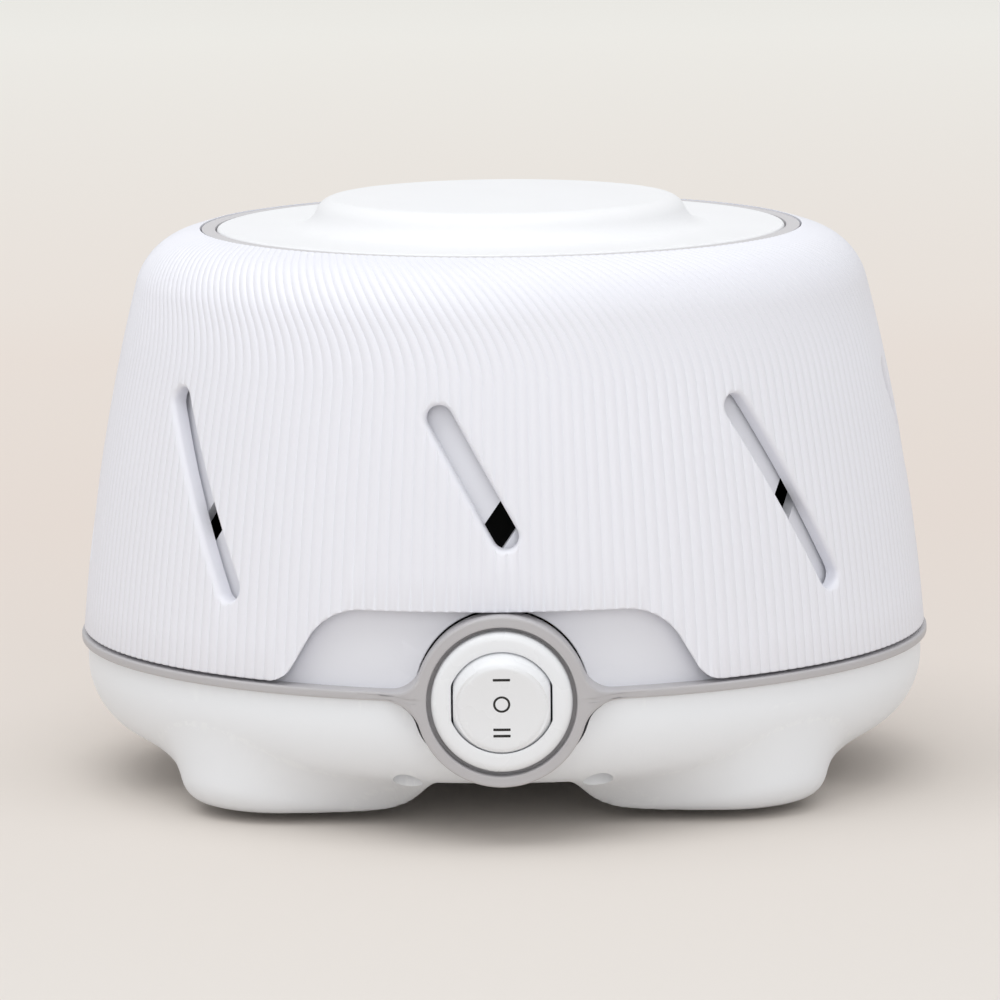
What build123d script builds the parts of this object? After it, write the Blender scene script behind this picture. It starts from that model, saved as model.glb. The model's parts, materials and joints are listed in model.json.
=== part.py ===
"""White noise sound machine: a fan in a slotted housing under a turning, slotted outer shell.

Millimetres, +Z up, front towards -Y. The origin is on the surface the machine stands on, on its axis.
Azimuths are in degrees from the front (-Y) towards +X.
"""

import os
from math import asin, atan, atan2, cos, degrees, hypot, radians, sin, sqrt, tan

from build123d import *

# ---------------------------------------------------------------- base, from the floor up
foot_proud = 1.5            # rubber foot below the lobe
foot_recess = 1.0           # depth the foot is let into the lobe
foot_radius = 5.5
foot_inset = 3.5            # foot centre in from where an arch bottoms out, along X and along Y
arch_height = 7.0           # belly above the lobes
arch_flat = 9.0             # half width of the level part of an arch
lobe_width = 38.4           # base rim to where an arch bottoms out
arch_top_radius = 8.0
base_radius = 69.4
base_height = 14.6          # belly to rim
rim_height = 3.1            # straight part of the bowl under the rim
bowl_radius = 12.6          # rounding of the bowl's lower edge
bowl_end = 20.0             # slope of the bowl where its flank starts, degrees below level
flank_slope = 70.0          # steepest slope of the flank
foot_edge_radius = 4.5
base_wall = 2.5

# ---------------------------------------------------------------- case screws
case_screw_inset = 6.9      # screw centres in from the base's rim
case_screw_azimuth = 14.0   # each side of every axis
case_boss_radius = 3.4
counterbore_radius = 2.4
counterbore_depth = 7.0     # above the belly
case_screw_radius = 1.5
case_head_radius = 2.2
case_head_height = 1.8
case_thread_length = 8.0    # grip in the housing

# ---------------------------------------------------------------- trim band and switch bezel
band_thickness = 1.4
band_proud = 1.0            # beyond the base
band_depth = 6.1            # radial width
bezel_radius = 13.6
bezel_wall = 2.0
bezel_height = 0.4          # bezel centre above the band's underside
bezel_proud = 1.9           # bezel face beyond the band
bezel_root = 5.4            # bezel's inner end behind the band's face
bezel_panel = 1.8
bezel_recess = 2.4          # bezel face to its panel
bezel_flare = 5.0           # fillet between band and bezel
bezel_flare_depth = 3.4
bezel_flare_run = 15.0      # band beside the bezel that the fillets run out on

# ---------------------------------------------------------------- rocker switch
switch_flange_radius = 11.35
switch_flange_height = 3.0
switch_flange_edge = 1.0
switch_barrel_radius = 9.9
switch_barrel_length = 16.0
rocker_radius = 8.8         # barrel shape about the pivot, in its middle
rocker_side_radius = 4.74   # the same at the flats
rocker_pivot_depth = 4.2    # pivot behind the flange's face
rocker_flat = 7.65          # half width between the two flats
rocker_proud = 1.3          # rocker face beyond the flange
rocker_dish_radius = 60.0
rocker_dish_depth = 0.4
rocker_tail = 2.2           # rocker behind its pivot
rocker_pin_radius = 1.2
rocker_pin_length = 1.0
rocker_lean = 8.0           # degrees from its middle position, face turned down
blade_width = 4.8
blade_thickness = 0.8
blade_length = 8.0
blade_hole = 0.8
blade_hole_inset = 2.4      # hole centre from the blade's tip
blade_pitch = 5.5

# ---------------------------------------------------------------- outer shell
shell_gap = 0.5             # band to shell
shell_proud = 0.6           # shell's lower edge beyond the base
shell_height = 66.3
shell_wall = 2.8
wall_bow = 4.8              # turn of the wall from its chord, degrees
shoulder_radius = 11.3
crown_slope = 16.7          # fall of the crown from the mouth outwards, degrees
crown_width = 3.0
slot_count = 8
slot_width = 4.2
slot_lean = 29.8            # off vertical, top towards -X on the front
slot_top = 42.15            # upper end centre above the shell's lower edge
slot_bottom = 13.9
short_slot_bottom = 23.9    # the one above the notch
slot_azimuth = -8.44        # upper end of the front slot
notch_height = 12.4
notch_flat = 20.65          # half width of its level top
notch_top_radius = 10.0
notch_foot_radius = 5.0
notch_slope = 60.0
notch_azimuth = -1.09

# ---------------------------------------------------------------- inner housing
shell_play = 0.7            # shell to housing
housing_wall = 2.0
deck_thickness = 2.5
inner_slot_width = 4.5
inner_slot_lean = 35.0      # off vertical, top towards +X on the front
inner_slot_top = 37.0       # above the housing's lower edge
inner_slot_bottom = 17.0
inner_slot_azimuth = 0.86   # middle of the front slot
flange_thickness = 2.5
boss_height = 11.0          # above the housing's lower edge
port_count = 4
port_inner_radius = 20.0
port_inset = 7.0            # ports in from the cap's rim
port_angle = 40.0
hub_radius = 8.0
hub_drop = 3.0              # hub below the deck

# ---------------------------------------------------------------- top ring, glide ring and cap
cap_inset = 23.0            # cap's rim in from the shell's lower edge
cap_gap = 0.3
sleeve_thickness = 1.0
sleeve_play = 0.4
lip_overlap = 0.8           # ring flange over the shell's lip
mouth_gap = 0.3
ring_drop = 0.2             # ring's top below the shell's mouth
ring_flange = 1.7
lift_play = 0.5
lip_thickness = 1.7
glide_thickness = 2.2
glide_inset = 0.6
cap_thickness = 2.2
cap_skirt = 1.2
cap_skirt_depth = 1.6
cap_edge_radius = 0.6
puck_rise = 4.7
puck_inset = 12.5           # foot of the puck's flare in from the cap's rim
puck_flare = 7.0            # width of the flare, from its foot to the level top
puck_edge_radius = 3.3
spindle_radius = 4.0
spindle_collar = 2.0
cap_travel = 22.5           # degrees each way
stop_radius = 14.0
stop_width = 3.0
stop_angle = 10.0
stop_depth = 2.0
shutter_thickness = 1.5
shutter_rim = 2.5           # shutter beyond the ports
cap_washer_radius = 7.0
cap_washer_thickness = 1.0
cap_screw_radius = 1.4
cap_screw_head = 3.0
cap_screw_head_height = 2.0
cap_screw_length = 8.0

# ---------------------------------------------------------------- fan chamber
chamber_inset = 1.56        # drum in from the housing's wall under the deck
chamber_wall = 2.0
chamber_floor = 2.0
chamber_inlet = 14.0
chamber_port_count = 8
chamber_port_angle = 14.0
chamber_port_margin = 5.0   # solid wall below and above a port
tab_reach = 5.0             # chamber screws beyond the drum
tab_width = 8.0
tab_thickness = 2.0
tab_screw_radius = 1.4
tab_screw_head = 2.6
tab_screw_head_height = 1.6
tab_screw_length = 9.0
switch_window = 12.0        # half width of the gap for the switch
switch_window_margin = 2.0

# ---------------------------------------------------------------- motor
plate_clearance = 3.5       # belly's inside to the mount plate
plate_thickness = 1.5
plate_size = 62.0
plate_corner = 7.0
plate_hole = 8.0
mount_offset = 25.0
post_radius = 4.5
grommet_radius = 6.0
grommet_neck = 4.0
grommet_flange = 1.5
grommet_bore = 2.0
mount_screw_radius = 1.5
mount_screw_head = 5.0
mount_screw_head_height = 1.8
mount_screw_grip = 7.0
stack_height = 16.0
stack_half_width = 22.0
stack_back = 18.0           # solid side of the stack, from the axis
stack_leg = 8.0             # width of each leg and of the coil core
stack_reach = 36.0          # coil side of the stack, from the axis
rotor_radius = 12.3
air_gap = 0.4
bracket_offset = 5.0        # strap from the stack's face
bracket_thickness = 2.0
bracket_width = 10.0
bracket_post = 4.0
bracket_cup = 7.0
cup_start = 2.0             # cup from the stack's face
bearing_radius = 4.5
bearing_length = 6.0
shaft_radius = 2.0
shaft_fit = 0.03
shaft_below = 0.5           # shaft past the lower bearing
motor_screw_offset = 17.6
motor_screw_radius = 1.5
motor_screw_head = 2.9
motor_screw_head_height = 2.2
nut_across_flats = 5.5
nut_height = 2.2
shading_bar = 1.6
shading_x = 7.5
shading_inner = 14.5
core_play = 0.2
bobbin_wall = 1.2
bobbin_flange_height = 4.6
bobbin_length = 26.0
coil_height = 3.6
washer_radius = 3.6
washer_thickness = 1.6

# ---------------------------------------------------------------- fan wheel
chamber_over_motor = 1.2    # upper bracket to the chamber's floor
wheel_clearance = 4.0       # chamber floor to the wheel
wheel_inset = 11.0          # wheel's rim in from the drum
wheel_plate = 1.2
wheel_top_clearance = 3.0   # blades to the cap screw
wheel_hub_radius = 6.0
wheel_hub_height = 11.0
blade_count = 9
fan_blade_thickness = 1.4
fan_blade_inner = 15.0
clip_radius = 5.0
clip_thickness = 1.0
shaft_end = 2.5             # shaft above the hub

# ---------------------------------------------------------------- cord gland
gland_height = 14.5         # above the lobes
gland_proud = 0.5           # face of its seat beyond the base
gland_boss = 6.3
gland_flange_radius = 5.6
gland_flange_height = 3.0
gland_neck = 4.0
gland_bore = 2.9
gland_wall = 3.0            # seat to the boss's inner face
gland_inner_flange = 2.0
gland_room = 9.0            # free depth behind the boss
gland_inner_radius = 5.0

# ---------------------------------------------------------------- motor leads
lead_radius = 0.8
lead_bend = 4.0
lead_straight = 6.0         # straight run at each end
lead_rise = 2.5             # over the stack
lead_side = 4.0             # corner beside the stack
lead_pitch = 3.0            # at the coil

# ---------------------------------------------------------------- clearances
cut_gap = 0.25              # round the bezel in base and housing
boss_gap = 0.2              # round bosses
thread_gap = 0.05           # screw to its hole
rocker_gap = 0.3
spindle_fit = 0.05
tab_gap = 1.0               # flange to chamber
cut_over = 1.0              # cutters run past a wall
reach = 200.0               # longer than the machine, for cuts that go right through

# ---------------------------------------------------------------- levels
lobe_z = foot_proud
belly_z = lobe_z + arch_height
base_top_z = belly_z + base_height
bowl_z = base_top_z - rim_height
band_top_z = base_top_z + band_thickness
bezel_z = base_top_z + bezel_height
shell_bottom_z = band_top_z + shell_gap
shell_top_z = shell_bottom_z + shell_height
ring_top_z = shell_top_z - ring_drop
lip_top_z = ring_top_z - ring_flange - lift_play
lip_under_z = lip_top_z - lip_thickness
deck_top_z = lip_under_z - glide_thickness
deck_under_z = deck_top_z - deck_thickness
hub_under_z = deck_under_z - hub_drop
plate_z = belly_z + base_wall + plate_clearance
plate_top_z = plate_z + plate_thickness
stack_z = plate_top_z + bracket_offset + bracket_thickness
stack_top_z = stack_z + stack_height
chamber_bottom_z = band_top_z - tab_thickness
bracket_top_z = stack_top_z + cup_start + bracket_cup
chamber_floor_z = bracket_top_z + chamber_over_motor
wheel_z = chamber_floor_z + chamber_floor + wheel_clearance
wheel_hub_top_z = wheel_z + wheel_hub_height
cap_screw_z = hub_under_z - shell_play - cap_washer_thickness - cap_screw_head_height
wheel_top_z = cap_screw_z - wheel_top_clearance

# ---------------------------------------------------------------- radii that follow
shell_radius = base_radius + shell_proud
band_radius = base_radius + band_proud
bezel_reach = band_radius + bezel_proud
bezel_depth = bezel_proud + bezel_root
gland_seat = base_radius + gland_proud
case_screw_circle = base_radius - case_screw_inset
arch_foot = base_radius - lobe_width
foot_offset = arch_foot + foot_inset
cap_radius = shell_radius - cap_inset
port_outer_radius = cap_radius - port_inset
puck_foot = cap_radius - puck_inset
puck_flat = puck_foot - puck_flare
sleeve_radius = cap_radius + cap_gap + sleeve_thickness
lip_radius = sleeve_radius + sleeve_play
ring_radius = lip_radius + lip_overlap
mouth_radius = ring_radius + mouth_gap
flange_reach = bezel_reach - bezel_recess + switch_flange_height
pivot_y = rocker_pivot_depth - flange_reach
panel_y = bezel_recess - bezel_reach

FROM_BASE = (Align.CENTER, Align.CENTER, Align.MIN)
UP = 90                     # direction in a section, degrees from +r towards +z
DOWN = -90
SKIN_STEPS = 30             # rounds in which the wall's lean settles


# ================================================================ helpers
def disc(radius, low, high):
    return Pos(0, 0, low) * Cylinder(radius, high - low, align=FROM_BASE)


def tube(outer, inner, low, high):
    return disc(outer, low, high) - disc(inner, low, high)


def post(x, y, radius, low, high):
    return Pos(x, y, 0) * disc(radius, low, high)


def rod_y(radius, start, end, z, x=0.0):
    """Round bar along Y from start to the higher y, end."""
    return Pos(x, start, z) * Rot(X=-90) * Cylinder(radius, end - start, align=FROM_BASE)


def block(x0, x1, y0, y1, z0, z1):
    middle = Pos((x0 + x1) / 2, (y0 + y1) / 2, (z0 + z1) / 2)
    return middle * Box(x1 - x0, y1 - y0, z1 - z0)


def at_azimuth(radius, azimuth):
    return radius * sin(radians(azimuth)), -radius * cos(radians(azimuth))


def case_screw_points():
    sides = range(0, 360, 90)
    azimuths = [side + turn for side in sides for turn in (-case_screw_azimuth, case_screw_azimuth)]
    return [at_azimuth(case_screw_circle, azimuth) for azimuth in azimuths]


def corners(offset):
    return [(x, y) for x in (-offset, offset) for y in (-offset, offset)]


def group(solids):
    return Compound(children=list(solids))


def arc_about(centre, radius, start, end):
    """Arc of a section about a centre; angles in degrees from +r towards +z."""
    def point(angle):
        return centre[0] + radius * cos(radians(angle)), centre[1] + radius * sin(radians(angle))
    return ThreePointArc(point(start), point((start + end) / 2), point(end))


def closed_face(edges, *points):
    """Face bounded by edges in a row and then by straight lines through the points."""
    chain = Polyline(edges[-1] @ 1, *points, edges[0] @ 0)
    return make_face(Curve() + edges + chain)


def spun(face):
    return revolve(Plane.XZ * face, Axis.Z)


def s_bend(top, bottom, top_radius, shift=0.0):
    """Two tangent arcs from top down to bottom, level at both ends; shift moves them along their normal."""
    run = bottom[0] - top[0]
    drop = top[1] - bottom[1]
    turn = 2 * degrees(atan(drop / run))
    bottom_radius = run / sin(radians(turn)) - top_radius
    upper = arc_about((top[0], top[1] - top_radius), top_radius + shift, UP, UP - turn)
    lower = arc_about((bottom[0], bottom[1] + bottom_radius), bottom_radius - shift, DOWN - turn, DOWN)
    return [upper, lower]


def slot_prism(width, length, lean, z, azimuth, inner, outer):
    """Slot cutter across the wall; lean is the angle off vertical, positive with its top towards -X."""
    outline = Rot(Z=90 + lean) * SlotCenterToCenter(length, width)
    prism = extrude(Plane.XZ.offset(inner) * Pos(0, z) * outline, outer - inner)
    return Rot(Z=azimuth) * prism


def sector(inner, outer, angle, azimuth, low, high):
    """Sector of a ring, angle wide, centred on the azimuth."""
    half = angle / 2
    sides = [at_azimuth(2 * outer, azimuth + side) for side in (-half, half)]
    wedge = extrude(make_face(Polyline((0, 0), sides[0], sides[1], close=True)), high - low)
    return tube(outer, inner, low, high) & Pos(0, 0, low) * wedge


# ================================================================ skin of shell and housing
def skin():
    """Shoulder centre, wall lean, wall centre and wall radius of the outer shell's section."""
    slope = radians(crown_slope)
    crown_end = (mouth_radius + crown_width, shell_top_z - crown_width * tan(slope))
    shoulder = (crown_end[0] - shoulder_radius * sin(slope), crown_end[1] - shoulder_radius * cos(slope))
    lean = wall_bow
    for _ in range(SKIN_STEPS):
        waist_r = shoulder[0] + shoulder_radius * cos(radians(lean))
        waist_z = shoulder[1] + shoulder_radius * sin(radians(lean))
        chord = (shell_radius - waist_r, waist_z - shell_bottom_z)
        lean = degrees(atan2(chord[0], chord[1])) + wall_bow
    wall_radius = hypot(*chord) / (2 * sin(radians(wall_bow)))
    wall = (waist_r - wall_radius * cos(radians(lean)), waist_z - wall_radius * sin(radians(lean)))
    return shoulder, lean, wall, wall_radius


SHOULDER, LEAN, WALL, WALL_RADIUS = skin()


def wall_at(z, inset):
    return WALL[0] + sqrt((WALL_RADIUS - inset) ** 2 - (z - WALL[1]) ** 2)


def shoulder_at(z, inset):
    return SHOULDER[0] + sqrt((shoulder_radius - inset) ** 2 - (z - SHOULDER[1]) ** 2)


def housing_inset():
    return shell_wall + shell_play


chamber_radius = shoulder_at(deck_under_z, housing_inset() + housing_wall) - chamber_inset
tab_radius = chamber_radius + tab_reach
wheel_radius = chamber_radius - wheel_inset


def skin_edges(bottom, inset, shoulder_end):
    """Wall and shoulder of the section from the bottom up, inset from the outer skin."""
    start = degrees(asin((bottom - WALL[1]) / (WALL_RADIUS - inset)))
    wall = arc_about(WALL, WALL_RADIUS - inset, start, LEAN)
    shoulder = arc_about(SHOULDER, shoulder_radius - inset, LEAN, shoulder_end)
    return [wall, shoulder]


def shoulder_angle(z, inset):
    return degrees(asin((z - SHOULDER[1]) / (shoulder_radius - inset)))


# ================================================================ base
def base_section(inset):
    """Half section of the bowl and lobes, inset by a wall."""
    bowl = (base_radius - bowl_radius, bowl_z)
    level, steep = radians(bowl_end), radians(flank_slope)
    fall = bowl_z - lobe_z - bowl_radius * cos(level) - foot_edge_radius * (1 - cos(steep))
    flank_radius = fall / (cos(level) - cos(steep))
    flank = (
        bowl[0] + (bowl_radius + flank_radius) * sin(level),
        bowl[1] - (bowl_radius + flank_radius) * cos(level),
    )
    foot = (
        flank[0] - (flank_radius + foot_edge_radius) * sin(steep),
        flank[1] + (flank_radius + foot_edge_radius) * cos(steep),
    )
    edges = [
        arc_about(foot, foot_edge_radius - inset, DOWN, DOWN + flank_slope),
        arc_about(flank, flank_radius + inset, UP + flank_slope, UP + bowl_end),
        arc_about(bowl, bowl_radius - inset, DOWN + bowl_end, 0),
    ]
    return closed_face(edges, (base_radius - inset, base_top_z), (0, base_top_z), (0, lobe_z + inset))


def arch_channel(shift):
    """Channel under the base along Y, with its surface shifted outwards by a wall."""
    bend = s_bend((arch_flat, belly_z), (arch_foot, lobe_z), arch_top_radius, shift)
    half = closed_face(bend, (arch_foot, -reach), (0, -reach), (0, belly_z + shift))
    prism = extrude(Plane.XZ * half, reach, both=True)
    return prism + prism.mirror(Plane.YZ)


def bezel_outline(grow):
    """Front view of bezel and band beside it, with the fillets between them."""
    run = bezel_radius + bezel_flare_run
    strip = Pos(0, base_top_z + band_thickness / 2) * Rectangle(2 * run, band_thickness)
    outline = strip + Pos(0, bezel_z) * Circle(bezel_radius)
    inner_corners = [v for v in outline.vertices() if abs(v.X) < run - bezel_flare]
    outline = fillet(inner_corners, bezel_flare)
    return offset(outline, grow) if grow else outline


def bezel_cutter(start):
    """Room for the bezel with its clearance, from start out to the front."""
    flare = extrude(Plane.XZ.offset(start) * bezel_outline(cut_gap), reach)
    return flare & disc(reach, 0, base_top_z)


def barrel_cutter():
    """Room for the switch barrel with its clearance."""
    return rod_y(switch_barrel_radius + cut_gap, -reach, panel_y + switch_barrel_length + cut_gap, bezel_z)


def gland_z():
    return lobe_z + gland_height


def make_base_shell():
    arches = arch_channel(0)
    arches = arches + Rot(Z=90) * arches
    ribs = arch_channel(base_wall)
    ribs = ribs + Rot(Z=90) * ribs
    outer = spun(base_section(0)) - arches
    cavity = spun(base_section(base_wall)) - ribs
    shell = outer - cavity
    columns = [post(x, y, case_boss_radius, 0, base_top_z) for x, y in case_screw_points()]
    columns += [post(x, y, post_radius, 0, plate_z - grommet_flange) for x, y in corners(mount_offset)]
    shell += [column & outer for column in columns]
    shell += [post(x, y, case_boss_radius, base_top_z, band_top_z) for x, y in case_screw_points()]
    seat_inner = gland_seat - gland_wall
    shell += rod_y(gland_boss, seat_inner, gland_seat, gland_z())
    shell -= rod_y(gland_neck, seat_inner - gland_wall, reach, gland_z())
    shell -= rod_y(gland_inner_radius + boss_gap, seat_inner - gland_room, seat_inner, gland_z())
    shell -= [post(x, y, counterbore_radius, 0, belly_z + counterbore_depth) for x, y in case_screw_points()]
    shell -= [post(x, y, case_screw_radius + boss_gap, 0, reach) for x, y in case_screw_points()]
    shell -= [post(x, y, foot_radius, 0, lobe_z + foot_recess) for x, y in corners(foot_offset)]
    pilot_low = plate_z - grommet_flange - mount_screw_grip
    shell -= [
        post(x, y, mount_screw_radius + thread_gap, pilot_low, reach) for x, y in corners(mount_offset)
    ]
    shell -= bezel_cutter(bezel_reach - bezel_depth - cut_gap)
    return shell - barrel_cutter()


def make_rubber_feet():
    top = lobe_z + foot_recess
    return group(post(x, y, foot_radius, 0, top) for x, y in corners(foot_offset))


def make_case_screws():
    seat = belly_z + counterbore_depth
    tip = band_top_z + case_thread_length
    solids = []
    for x, y in case_screw_points():
        head = post(x, y, case_head_radius, seat - case_head_height, seat)
        solids.append(head + post(x, y, case_screw_radius, seat, tip))
    return group(solids)


# ================================================================ band, bezel and switch
def make_trim_band():
    ring = tube(band_radius, band_radius - band_depth, base_top_z, band_top_z)
    flares = extrude(Plane.XZ * bezel_outline(0), reach)
    flares &= tube(band_radius, band_radius - bezel_flare_depth, 0, reach)
    bezel_start = bezel_depth - bezel_reach
    bezel = rod_y(bezel_radius, -bezel_reach, bezel_start, bezel_z)
    opening = rod_y(bezel_radius - bezel_wall, -reach, bezel_start, bezel_z)
    panel = rod_y(bezel_radius - bezel_wall, panel_y, panel_y + bezel_panel, bezel_z)
    panel -= rod_y(switch_barrel_radius + boss_gap, -reach, bezel_start, bezel_z)
    band = ring + flares + bezel - opening
    band -= rod_y(bezel_radius - bezel_wall, -reach, 0, bezel_z)
    band += panel
    return band - [post(x, y, case_boss_radius + boss_gap, 0, reach) for x, y in case_screw_points()]


def rocker_barrel(grow):
    """Barrel about the rocker's pivot axis, grown by a gap."""
    half, side = rocker_flat + grow, rocker_side_radius + grow
    arc = ThreePointArc((-half, side), (0, rocker_radius + grow), (half, side))
    face = closed_face([arc], (half, 0), (-half, 0))
    return Pos(0, pivot_y, bezel_z) * revolve(face, Axis.X)


def make_switch_body():
    back = panel_y + switch_barrel_length
    flange = rod_y(switch_flange_radius, panel_y - switch_flange_height, panel_y, bezel_z)
    front_edge = flange.edges().filter_by(GeomType.CIRCLE).sort_by(Axis.Y)[0]
    flange = fillet(front_edge, switch_flange_edge)
    body = flange + rod_y(switch_barrel_radius, panel_y, back, bezel_z)
    body -= rocker_barrel(rocker_gap)
    pin_half = rocker_flat + rocker_pin_length + rocker_gap
    pin_hole = Pos(0, pivot_y, bezel_z) * Rot(Y=90) * Cylinder(rocker_pin_radius + spindle_fit, 2 * pin_half)
    return body - pin_hole


def make_switch_rocker():
    face_y = pivot_y - rocker_pivot_depth - rocker_proud
    rocker = rocker_barrel(0)
    rocker &= block(-reach, reach, face_y, pivot_y + rocker_tail, 0, reach)
    dish = Pos(0, face_y - rocker_dish_radius + rocker_dish_depth, bezel_z)
    rocker -= dish * Rot(Y=90) * Cylinder(rocker_dish_radius, reach)
    pin_half = rocker_flat + rocker_pin_length
    rocker += Pos(0, pivot_y, bezel_z) * Rot(Y=90) * Cylinder(rocker_pin_radius, 2 * pin_half)
    return rocker.rotate(Axis((0, pivot_y, bezel_z), (1, 0, 0)), rocker_lean)


def make_switch_terminals():
    back = panel_y + switch_barrel_length
    solids = []
    for step in (-1, 0, 1):
        z = bezel_z + step * blade_pitch
        blade = block(
            -blade_width / 2, blade_width / 2, back, back + blade_length,
            z - blade_thickness / 2, z + blade_thickness / 2,
        )
        solids.append(blade - post(0, back + blade_length - blade_hole_inset, blade_hole, 0, reach))
    return group(solids)


# ================================================================ outer shell
def notch_cutter():
    """Front notch: level top, two arcs and a slope at each side, open below."""
    slope = radians(notch_slope)
    top_z = shell_bottom_z + notch_height
    upper = arc_about((notch_flat, top_z - notch_top_radius), notch_top_radius, UP, UP - notch_slope)
    straight = notch_height - (notch_top_radius + notch_foot_radius) * (1 - cos(slope))
    start = upper @ 1
    end = start + Vector(straight / tan(slope), -straight)
    foot_centre = (end.X + notch_foot_radius * sin(slope), end.Y + notch_foot_radius * cos(slope))
    lower = arc_about(foot_centre, notch_foot_radius, DOWN - notch_slope, DOWN)
    edges = [upper, Line(start, end), lower]
    tip = edges[-1] @ 1
    half = closed_face(edges, (tip.X, tip.Y - reach), (0, tip.Y - reach), (0, top_z))
    prism = extrude(Plane.XZ.offset(shell_radius / 2) * half, reach)
    return Rot(Z=notch_azimuth) * (prism + prism.mirror(Plane.YZ))


def shell_slots():
    """Long slots all round and one short slot above the notch."""
    top_z = shell_bottom_z + slot_top
    cutters = []
    for index in range(slot_count):
        low = short_slot_bottom if index == 0 else slot_bottom
        height = slot_top - low
        middle_z = top_z - height / 2
        radius = wall_at(middle_z, 0)
        drift = degrees(tan(radians(slot_lean)) / radius) * height / 2
        azimuth = slot_azimuth + drift + index * 360 / slot_count
        length = height / cos(radians(slot_lean))
        cutters.append(
            slot_prism(slot_width, length, slot_lean, middle_z, azimuth, cap_radius, reach)
        )
    return cutters


def make_outer_shell():
    outer = skin_edges(shell_bottom_z, 0, UP - crown_slope)
    inner = skin_edges(shell_bottom_z, shell_wall, shoulder_angle(lip_under_z, shell_wall))
    outside = closed_face(
        outer, (mouth_radius, shell_top_z), (mouth_radius, lip_top_z), (lip_radius, lip_top_z),
        (lip_radius, shell_bottom_z),
    )
    inside = closed_face(inner, (0, lip_under_z), (0, shell_bottom_z))
    shell = spun(outside) - spun(inside)
    return shell - shell_slots() - notch_cutter()


# ================================================================ inner housing
def inner_slots():
    middle = band_top_z + (inner_slot_top + inner_slot_bottom) / 2
    length = (inner_slot_top - inner_slot_bottom) / cos(radians(inner_slot_lean))
    cutters = []
    for index in range(slot_count):
        azimuth = inner_slot_azimuth + index * 360 / slot_count
        cutters.append(
            slot_prism(
                inner_slot_width, length, -inner_slot_lean, middle, azimuth, chamber_radius + tab_gap, reach
            )
        )
    return cutters


def cap_ports(azimuth, low, high):
    pitch = 360 / port_count
    return [
        sector(port_inner_radius, port_outer_radius, port_angle, azimuth + index * pitch, low, high)
        for index in range(port_count)
    ]


def make_inner_housing():
    outer_inset = housing_inset()
    inner_inset = outer_inset + housing_wall
    outer = skin_edges(band_top_z, outer_inset, shoulder_angle(deck_top_z, outer_inset))
    inner = skin_edges(band_top_z, inner_inset, shoulder_angle(deck_under_z, inner_inset))
    housing = spun(closed_face(outer, (0, deck_top_z), (0, band_top_z)))
    housing -= spun(closed_face(inner, (0, deck_under_z), (0, band_top_z)))
    housing -= inner_slots()
    flange_top = band_top_z + flange_thickness
    flange_radius = wall_at(flange_top, outer_inset + housing_wall / 2)
    housing += tube(flange_radius, chamber_radius + tab_gap, band_top_z, flange_top)
    room = spun(closed_face(outer, (0, deck_top_z), (0, band_top_z)))
    boss_top = band_top_z + boss_height
    bosses = [post(x, y, case_boss_radius, band_top_z, boss_top) for x, y in case_screw_points()]
    bosses += [
        post(*at_azimuth(tab_radius, azimuth), case_boss_radius, band_top_z, boss_top)
        for azimuth in range(45, 360, 90)
    ]
    housing += [(boss & room) - disc(chamber_radius + tab_gap, 0, reach) for boss in bosses]
    case_hole = case_thread_length + thread_gap
    housing -= [
        post(x, y, case_screw_radius + thread_gap, 0, band_top_z + case_hole) for x, y in case_screw_points()
    ]
    tab_hole = tab_screw_length - tab_thickness + thread_gap
    housing -= [
        post(*at_azimuth(tab_radius, azimuth), tab_screw_radius + thread_gap, 0, band_top_z + tab_hole)
        for azimuth in range(45, 360, 90)
    ]
    housing -= rod_y(bezel_radius + cut_gap, -reach, bezel_depth - bezel_reach + cut_gap, bezel_z)
    housing -= barrel_cutter()
    housing += disc(hub_radius, hub_under_z, deck_top_z)
    housing -= disc(spindle_radius + spindle_fit, 0, reach)
    housing -= cap_ports(0, deck_under_z, deck_top_z)
    stop_slot = 2 * cap_travel + stop_angle + thread_gap
    housing -= sector(
        stop_radius - boss_gap, stop_radius + stop_width + boss_gap, stop_slot, 0, deck_under_z, deck_top_z
    )
    return housing


# ================================================================ top ring, glide ring, cap
def make_top_ring():
    inner = cap_radius + cap_gap
    flange = tube(ring_radius, inner, ring_top_z - ring_flange, ring_top_z)
    return flange + tube(sleeve_radius, inner, deck_top_z, ring_top_z)


def make_glide_ring():
    outer = shoulder_at(lip_under_z, shell_wall) - glide_inset
    return tube(outer, sleeve_radius + 2 * glide_inset, deck_top_z, lip_under_z)


def shutter_z():
    return deck_top_z + cap_gap


def make_top_cap():
    disc_top = shell_top_z
    puck = s_bend((puck_flat, disc_top + puck_rise), (puck_foot, disc_top), puck_edge_radius)
    hollow = s_bend(
        (puck_flat, disc_top + puck_rise), (puck_foot, disc_top), puck_edge_radius, -cap_thickness
    )
    rim = arc_about((cap_radius - cap_edge_radius, disc_top - cap_edge_radius), cap_edge_radius, UP, 0)
    upper = Line(puck[-1] @ 1, rim @ 0)
    under_z = disc_top - cap_thickness
    skirt_z = under_z - cap_skirt_depth
    outline = closed_face(
        puck + [upper, rim],
        (cap_radius, skirt_z), (cap_radius - cap_skirt, skirt_z), (cap_radius - cap_skirt, under_z),
        (0, under_z), (0, disc_top + puck_rise),
    )
    room = closed_face(hollow, (0, under_z), (0, disc_top + puck_rise - cap_thickness))
    cap = spun(outline) - spun(room)
    shutter_top = shutter_z() + shutter_thickness
    ceiling = disc_top + puck_rise - cap_thickness
    cap += disc(spindle_radius + spindle_collar, shutter_top, ceiling)
    cap += disc(spindle_radius, hub_under_z - cap_gap, shutter_top)
    screw_hole = hub_under_z - cap_gap + cap_screw_length
    return cap - disc(cap_screw_radius + thread_gap, 0, screw_hole + thread_gap)


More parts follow.
